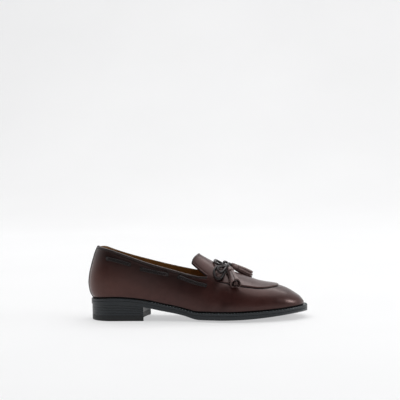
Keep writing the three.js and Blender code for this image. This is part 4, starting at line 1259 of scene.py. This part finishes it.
upper = piece("upper_dressed", grids, [upper_leather, edge_dye_and_shade, lining_leather, strip_leather])
print("upper:", len(upper.data.polygons), "faces")
in_shoe(upper, "upper")

# %% [markdown]
# ## Stitches on the upper
#
# A row of stitches holds the binding below the topline, and another runs inside the turned edge of the
# tongue. Each stitch is 2.3 mm from the next, and the thread is 0.5 mm thick.

# %% Rows of stitches
STITCH_SPACING = 2.3
STITCH_SIZE = (0.55, 0.5, 1.7)
STITCH_INSET = 2.85
STITCH_OVER = 0.42


def resampled(path, count):
    path = np.asarray(path, float)
    run = np.concatenate([[0], np.cumsum(np.linalg.norm(np.diff(path, axis=0), axis=1))])
    wanted = np.linspace(0, run[-1], count)
    return np.stack([np.interp(wanted, run, path[:, k]) for k in range(3)], -1)


def topline_path(side, below, over):
    """A path along the quarter at a distance below the topline and a height over the leather."""
    at = mix(0.012, THROAT - 0.004, np.linspace(0, 1, 240))
    edge = skirt_edge(at, side)
    climb, _ = climbs_at_distances(at, edge, np.zeros_like(edge), side, lambda total: np.array([below]))
    return layer(at, climb[:, 0], side, -over * np.ones(len(at)))


def tongue_path(inset):
    """A path inside the tongue's edge, from one throat round the tip to the other."""
    halves = []
    for side in (LATERAL, MEDIAL):
        share = np.linspace(1, 0.08, 80)
        throat_edge = skirt_edge(np.array([THROAT]), side)[0]
        scale = inset / 60
        side_at = mix(tongue_back(0), THROAT, share)
        side_climb = mix(TONGUE_CORNER_CLIMB, throat_edge, share) + scale * 0.62
        first = layer(side_at, side_climb, side, -0.1 * np.ones(len(share)))
        back_share = np.linspace(0.1, 1, 80)
        back_at = tongue_back(back_share) + inset / SOLE_LENGTH * 1.12
        back_climb = mix(TONGUE_CORNER_CLIMB, 1, back_share)
        second = layer(back_at, back_climb, side, -0.1 * np.ones(len(back_share)))
        halves.append(np.concatenate([first, second]))
    return np.concatenate([halves[0], halves[1][::-1][1:]])


def stitched(name, paths):
    return grow(paths_object(name, paths), grain_rows,
                {"Spacing": STITCH_SPACING * MM, "Size": sized(STITCH_SIZE), "Fineness": 2,
                 "Material": thread})


stitch_paths = [topline_path(side, STITCH_INSET, STITCH_OVER) for side in (LATERAL, MEDIAL)]
stitch_paths.append(tongue_path(STITCH_INSET))
in_shoe(stitched("upper_stitches", [resampled(path, 600) for path in stitch_paths]))

# %% [markdown]
# ## The strip over the back seam
#
# A narrow strip of black-brown leather covers the back seam, folds over the topline and ends inside. It
# is a grid as well: rows climb the back, columns lie across it, and its edges are rounded.

# %% Build the back strip
STRIP_THICKNESS = 0.9
STRIP_HALF_WIDTH = 4.5
STRIP_FOLD = 7.0


def strip_station(climb, wanted, side):
    """The station at which the skin is that far from the middle line."""
    low, high = np.zeros_like(climb), np.full_like(climb, HEEL_ROUND)
    for _ in range(30):
        half = (low + high) / 2
        inside = np.abs(skin(half, climb, side)[..., 1]) < wanted
        low, high = np.where(inside, half, low), np.where(inside, high, half)
    return high


def strip_lines(outside):
    """The strip's lines from one edge to the other, on one of its two faces."""
    lines = []
    for reach in np.linspace(-1, 1, 13):
        side = LATERAL if reach < 0 else MEDIAL
        wanted = abs(reach) * STRIP_HALF_WIDTH
        rounding = 0.45 * abs(reach) ** 6 if outside < -GAP else 0.0
        depth = outside + rounding
        top = float(topline_climb(0.0, side))
        climb = top * np.linspace(0, 1, 41)
        line = layer(strip_station(climb, wanted, side), climb, side, np.full(len(climb), depth))
        line[:, 2] = np.maximum(line[:, 2], feather(0))
        at = strip_station(np.array([top]), wanted, side)
        inner_depth = WALL - depth
        outer_top = layer(at, np.array([top]), side, np.array([depth]))
        inner_top = layer(at, np.array([top]), side, np.array([inner_depth]))
        fold = [mix(outer_top, inner_top, (1 - math.cos(a)) / 2) + np.array([0, 0, -depth * math.sin(a)])
                for a in np.linspace(0, math.pi, 9)[1:]]
        down = top - STRIP_FOLD / rise(0) * np.linspace(0, 1, 7)[1:]
        inside = layer(strip_station(down, wanted, side), down, side, np.full(len(down), inner_depth))
        lines.append(np.concatenate([line, *fold, inside]))
    return np.array(lines)


strip_outer = strip_lines(-GAP - STRIP_THICKNESS)
strip_inner = strip_lines(-GAP)
back_strip = piece("back_strip_dressed", [
    (strip_outer, True, 0), (strip_inner, False, 0),
    (np.stack([strip_outer[0], strip_inner[0]]), True, 0),
    (np.stack([strip_outer[-1], strip_inner[-1]]), False, 0),
    (np.stack([strip_outer[:, 0], strip_inner[:, 0]]), False, 0),
    (np.stack([strip_outer[:, -1], strip_inner[:, -1]]), True, 0),
], [strip_leather])
in_shoe(back_strip, "back_strip")
in_shoe(stitched("back_strip_stitches", [resampled(strip_outer[k, :40], 300) for k in (1, 11)]))

# %% [markdown]
# ## The braided lace
#
# A flat braid of three strands shows in three stretches on either side. Each strand swings across the
# braid and, twice as fast, over and under the others, a third of a turn after its neighbour. At both ends
# the braid dives through a slot in the quarter, whose edge is a small raised ring.

# %% Build the braid
SIDE_LACES = table("start end drop_start drop_end", (0.08, 0.2, 11.9, 10.2), (0.243, 0.375, 10.8, 8.0),
                   (0.418, 0.555, 6.6, 10.8))
LACE_HALF_HEIGHT = 1.4
LACE_OVER = GAP + LACE_HALF_HEIGHT * 1.16
BRAID_PERIOD = 9.0
BRAID_SWING = 1.75
BRAID_LIFT = 0.55
STRAND_RADIUS = 0.95


def lace_frame(row, side, steps=150):
    """Places, outward and across directions of the lace along one stretch."""
    t = np.linspace(0, 1, steps)
    at = mix(SIDE_LACES["start"][row], SIDE_LACES["end"][row], t)
    top = topline_climb(at, side)
    down = mix(SIDE_LACES["drop_start"][row], SIDE_LACES["drop_end"][row], t) / rise(at)
    climb = top - down * 2 / np.pi / np.cos(top * np.pi / 2)
    out = outward(at, climb, side)
    along = unit(skin(at + PROBE, climb, side) - skin(at - PROBE, climb, side))
    across = unit(np.cross(out, along))
    surface = layer(at, climb, side, np.zeros(len(at)))
    run = np.concatenate([[0], np.cumsum(np.linalg.norm(np.diff(surface, axis=0), axis=1))])
    return surface, out, across, run


slot_rings = []
for side_name, side in (("lateral", LATERAL), ("medial", MEDIAL)):
    for row in range(3):
        surface, out, across, run = lace_frame(row, side)
        from_end = np.minimum(run, run[-1] - run)
        height = mix(-0.4, LACE_OVER, ease(from_end, 0.0, 4.2))
        narrow = mix(0.55, 1.0, ease(from_end, 0.0, 3.5))
        strands = []
        for k in range(3):
            phase = run / BRAID_PERIOD * 2 * np.pi + k * 2 * np.pi / 3
            strands.append(surface + out * (height + BRAID_LIFT * narrow * np.sin(2 * phase))[:, None]
                           + across * (BRAID_SWING * np.sin(phase) * narrow)[:, None])
        lace = grow(paths_object(f"lace_{side_name}_{row + 1}", strands), round_strands,
                    {"Radius": STRAND_RADIUS * MM, "Sides": 10, "Material": lace_leather})
        in_shoe(lace, f"side_lace_{side_name}_{row + 1}")
        for end in (4, len(run) - 5):
            turn = np.linspace(0, 2 * np.pi, 25)
            along = unit(surface[end + 1] - surface[end - 1])
            slot_rings.append(surface[end] + out[end] * 0.05 + np.outer(np.cos(turn) * 0.9, along)
                              + np.outer(np.sin(turn) * 3.0, across[end]))
slots = grow(paths_object("lace_slots", slot_rings), round_strands,
             {"Radius": 0.4 * MM, "Sides": 8, "Material": edge_dye_and_shade})
in_shoe(slots)

# %% [markdown]
# ## The sole
#
# The outsole, the welt and the heel are flat leather, cut along one outline and filed round at their edges.
# Each is a closed grid between two heights, and a bevel rounds its edges by the file's few tenths of a
# millimetre.

# %% Plates between two heights
sole_stations = np.concatenate([
    THROAT * (1 - np.cos(np.linspace(0, np.pi / 2, 61)))[:-1],
    mix(THROAT, 1.0, np.sin(np.linspace(0, np.pi / 2, 91))),
])


def plate(name, inset, rows, bottom, top, surface, edge_rise=None):
    """A plate that follows the sole's outline, with as many rows of points on each side."""
    lower, upper_grid = [], []
    for row in range(-rows, rows + 1):
        side = LATERAL if row < 0 else MEDIAL
        reach = math.sin(abs(row) / rows * math.pi / 2)
        beyond = max((reach - TREAD_FLAT) / (1 - TREAD_FLAT), 0) ** 2
        lower.append(plan_point(sole_stations, inset(sole_stations), side, reach,
                                lambda at, b=beyond: bottom(at) + (edge_rise(at) * b if edge_rise else 0)))
        upper_grid.append(plan_point(sole_stations, inset(sole_stations), side, reach, top))
    lower, upper_grid = np.array(lower), np.array(upper_grid)
    return piece(name, [
        (upper_grid, True, 0), (lower, False, 0),
        (np.stack([lower[0], upper_grid[0]]), True, 0), (np.stack([lower[-1], upper_grid[-1]]), False, 0),
    ], [surface])


def edge_lift(at):
    return OUTSOLE_EDGE_LIFT * ease(at, HEEL_LENGTH / SOLE_LENGTH, 0.5)


def insole_inset(at):
    return ledge(at) + WALL + 2 * GAP + INSOLE_TOE_SETBACK * ease(at, 1 - TOE_ROUND, 1)


outsole = plate("outsole_dressed", lambda at: 0.0 * at, 10, underside, outsole_top, sole_leather, edge_lift)
outsole = soften(outsole, 0.9)
insole = plate("insole_dressed", insole_inset, 8, lambda at: outsole_top(at) + GAP,
               lambda at: feather(at) + INSOLE_THICKNESS, insole_leather)
insole = soften(insole, 0.6)
in_shoe(outsole, "outsole")
in_shoe(insole, "insole")
print("outsole:", len(outsole.data.polygons), "faces, insole:", len(insole.data.polygons))

# %% [markdown]
# The **welt** is a strip that joins the upper to the sole, so its section is one closed loop that follows
# the outline. A hot wheel presses it into small ribs, which show from the side as a row of pale points.
# They are the same rounded grains as the stitches, wider across the welt and 4.3 mm apart.

# %% The welt and its wheel marks
def welt_bottom(at):
    return outsole_top(at) + GAP / 3


inner = ledge(sole_stations) + WALL + GAP
rings = []
for side in (LATERAL, MEDIAL):
    corners = [(0 * inner, welt_bottom), (0 * inner, welt_top), (inner, welt_top), (inner, welt_bottom)]
    loop = [plan_point(sole_stations, inset, side, 1, height) for inset, height in corners + corners[:1]]
    rings.append((np.array(loop), side == LATERAL, 0))
welt = soften(piece("welt_dressed", rings, [welt_leather]), 0.8)
in_shoe(welt, "welt")

WHEEL_START = 0.3
WHEEL_SPACING = 4.3
WHEEL_SIZE = (3.2, 1.5, 1.5)
WHEEL_INSET = 0.26
mark_paths = []
for side in (LATERAL, MEDIAL):
    at = mix(WHEEL_START, 0.9999, np.sin(np.linspace(0, np.pi / 2, 500)))
    line = plan_point(at, WHEEL_INSET * ledge(at), side, 1, welt_top)
    mark_paths.append(line + np.array([0, 0, 0.02]))
wheel_path = np.concatenate([mark_paths[0], mark_paths[1][::-1]])
wheel_marks = grow(paths_object("welt_wheel_marks", [resampled(wheel_path, 900)]), grain_rows,
                   {"Spacing": WHEEL_SPACING * MM, "Size": sized(WHEEL_SIZE), "Fineness": 2,
                    "Material": wheel_wax})
in_shoe(wheel_marks)

# %% [markdown]
# The heel is a stack of four leather lifts on a rubber top piece. All five are cut to one outline with a
# hollow breast, and their joints show as fine lines round the heel.

# %% The heel
SEAM = 0.1
HEEL_ROUNDING = 0.28


def heel_outline():
    share = HEEL_LENGTH / SOLE_LENGTH * (1 - np.cos(np.linspace(0, np.pi / 2, 41)))
    sides = {side: plan_point(share, HEEL_INSET, side, 1, lambda at: 0 * at) for side in (LATERAL, MEDIAL)}
    start, end = sides[LATERAL][-1], sides[MEDIAL][-1]
    t = np.linspace(0, 1, 25)[1:-1, None]
    breast = mix(start, end, t) - np.array([HEEL_BREAST_HOLLOW, 0, 0]) * 4 * t * (1 - t)
    return np.concatenate([sides[LATERAL], breast, sides[MEDIAL][::-1]])


def heel_layer(name, bottom, top, surface):
    outline = heel_outline()
    centre = np.array([HEEL_REST, 0.0, 0.0])
    rings = []
    for shrink, height in [(0, bottom), (0.9, bottom), (1, bottom), (1, top), (0.9, top), (0, top)]:
        ring = mix(centre, outline, shrink)
        ring[:, 2] = height(ring[:, 0])
        rings.append(ring)
    return soften(piece(name, [(np.array(rings), False, 0)], [surface]), HEEL_ROUNDING, 2)


def lift_plane(share):
    return lambda x: mix(TOP_PIECE_THICKNESS, underside(x / SOLE_LENGTH) - SEAM, share)


for i in range(LIFT_COUNT):
    below, over = lift_plane(i / LIFT_COUNT), lift_plane((i + 1) / LIFT_COUNT)
    name = f"heel_lift_{LIFT_COUNT - i}"
    made = heel_layer(f"{name}_dressed", lambda x, f=below: f(x) + SEAM / 2,
                      lambda x, f=over: f(x) - SEAM / 2, sole_leather)
    in_shoe(made, name)
    print(f"{made.name}: {len(made.data.polygons)} faces")
top_piece = heel_layer("top_piece_dressed", lambda x: 0 * x,
                       lambda x: 0 * x + TOP_PIECE_THICKNESS - SEAM / 2, heel_rubber)
in_shoe(top_piece, "top_piece")

# %% [markdown]
# ## Floor and light
#
# The shoe stands on pale paper that sweeps up behind it, so no edge shows. The paper glows a little, which
# keeps it nearly white and the shadow on it pale. It doesn't ride on the shoe's body, so it isn't part of the
# shoe.

# %% The paper sweep
PAPER_GLOW = 0.51
SWEEP_BEND = 1500
SWEEP_HALF_WIDTH = 5000
paper, tree, shader, place = material("pale_paper")
fibres = ramp(tree, noise(tree, place, 400), (0.3, "a7a7a7"), (0.7, "ababab"))
tree.links.new(fibres, shader.inputs["Base Color"])
finish(shader, {"Roughness": 0.85, "Emission Color": linear("fcfcfd"), "Emission Strength": PAPER_GLOW})
bend = [(SWEEP_BEND * (1 + math.sin(a)), SWEEP_BEND * (1 - math.cos(a)))
        for a in np.linspace(0, math.pi / 2, 25)[1:]]
sweep_profile = [(-4000, 0), (SWEEP_BEND, 0)] + bend + [(2 * SWEEP_BEND, 6000)]
sweep_grid = np.array([[(x, y, z) for y, z in sweep_profile] for x in (-SWEEP_HALF_WIDTH, SWEEP_HALF_WIDTH)])
sweep = piece("paper_sweep", [(sweep_grid, True, 0)], [paper], moved=False)
print("the paper rises", 2 * SWEEP_BEND * MM, "m behind the shoe")

# %% [markdown]
# A wide soft box hangs above and gives the long soft gloss on the tongue and the apron. A small one on the
# toe's side leaves the short streak on the toe, and a third lights the paper behind the shoe.

# %% Lights
def soft_box(name, place, aim, size, power):
    """A rectangular light in metres and watts that looks at a point."""
    data = bpy.data.lights.new(name, "AREA")
    data.shape = "RECTANGLE"
    data.size, data.size_y = size
    data.energy = power
    made = bpy.data.objects.new(name, data)
    made.location = place
    made.rotation_euler = (Vector(aim) - Vector(place)).to_track_quat("-Z", "Y").to_euler()
    bpy.context.collection.objects.link(made)
    print(f"{name}: {power} W")


soft_box("overhead", (0.1, 0.3, 2.1), (0.1, 0.0, 0.0), (3.2, 2.4), 30)
soft_box("toe_side", (1.6, -0.25, 0.6), (0.15, 0, 0.05), (0.4, 0.3), 6)
soft_box("backdrop", (0.1, 1.8, 2.4), (0.1, 2.5, 0.3), (3.5, 1.2), 30)

# %% [markdown]
# The world is the room round the paper. It is pale behind and above the shoe and dark behind the camera,
# so the side of the shoe that faces the camera stays deep in colour.

# %% The room
ROOM_DARK = 0.05
ROOM_PALE = 0.8
world = bpy.data.worlds.new("studio")
world.use_nodes = True
tree = world.node_tree
background = tree.nodes["Background"]
background.inputs["Color"].default_value = linear("f6f7f8")
looks = node(tree, "ShaderNodeTexCoord").outputs["Generated"]
apart = node(tree, "ShaderNodeSeparateXYZ", {"Vector": looks})
pale = spread(tree, apart.outputs["Y"], -0.75, 0.35, ROOM_DARK, ROOM_PALE)
tree.links.new(pale, background.inputs["Strength"])
bpy.context.scene.world = world
bpy.context.scene.view_settings.view_transform = "Standard"
print("room: from", ROOM_DARK, "in front to", ROOM_PALE, "behind")
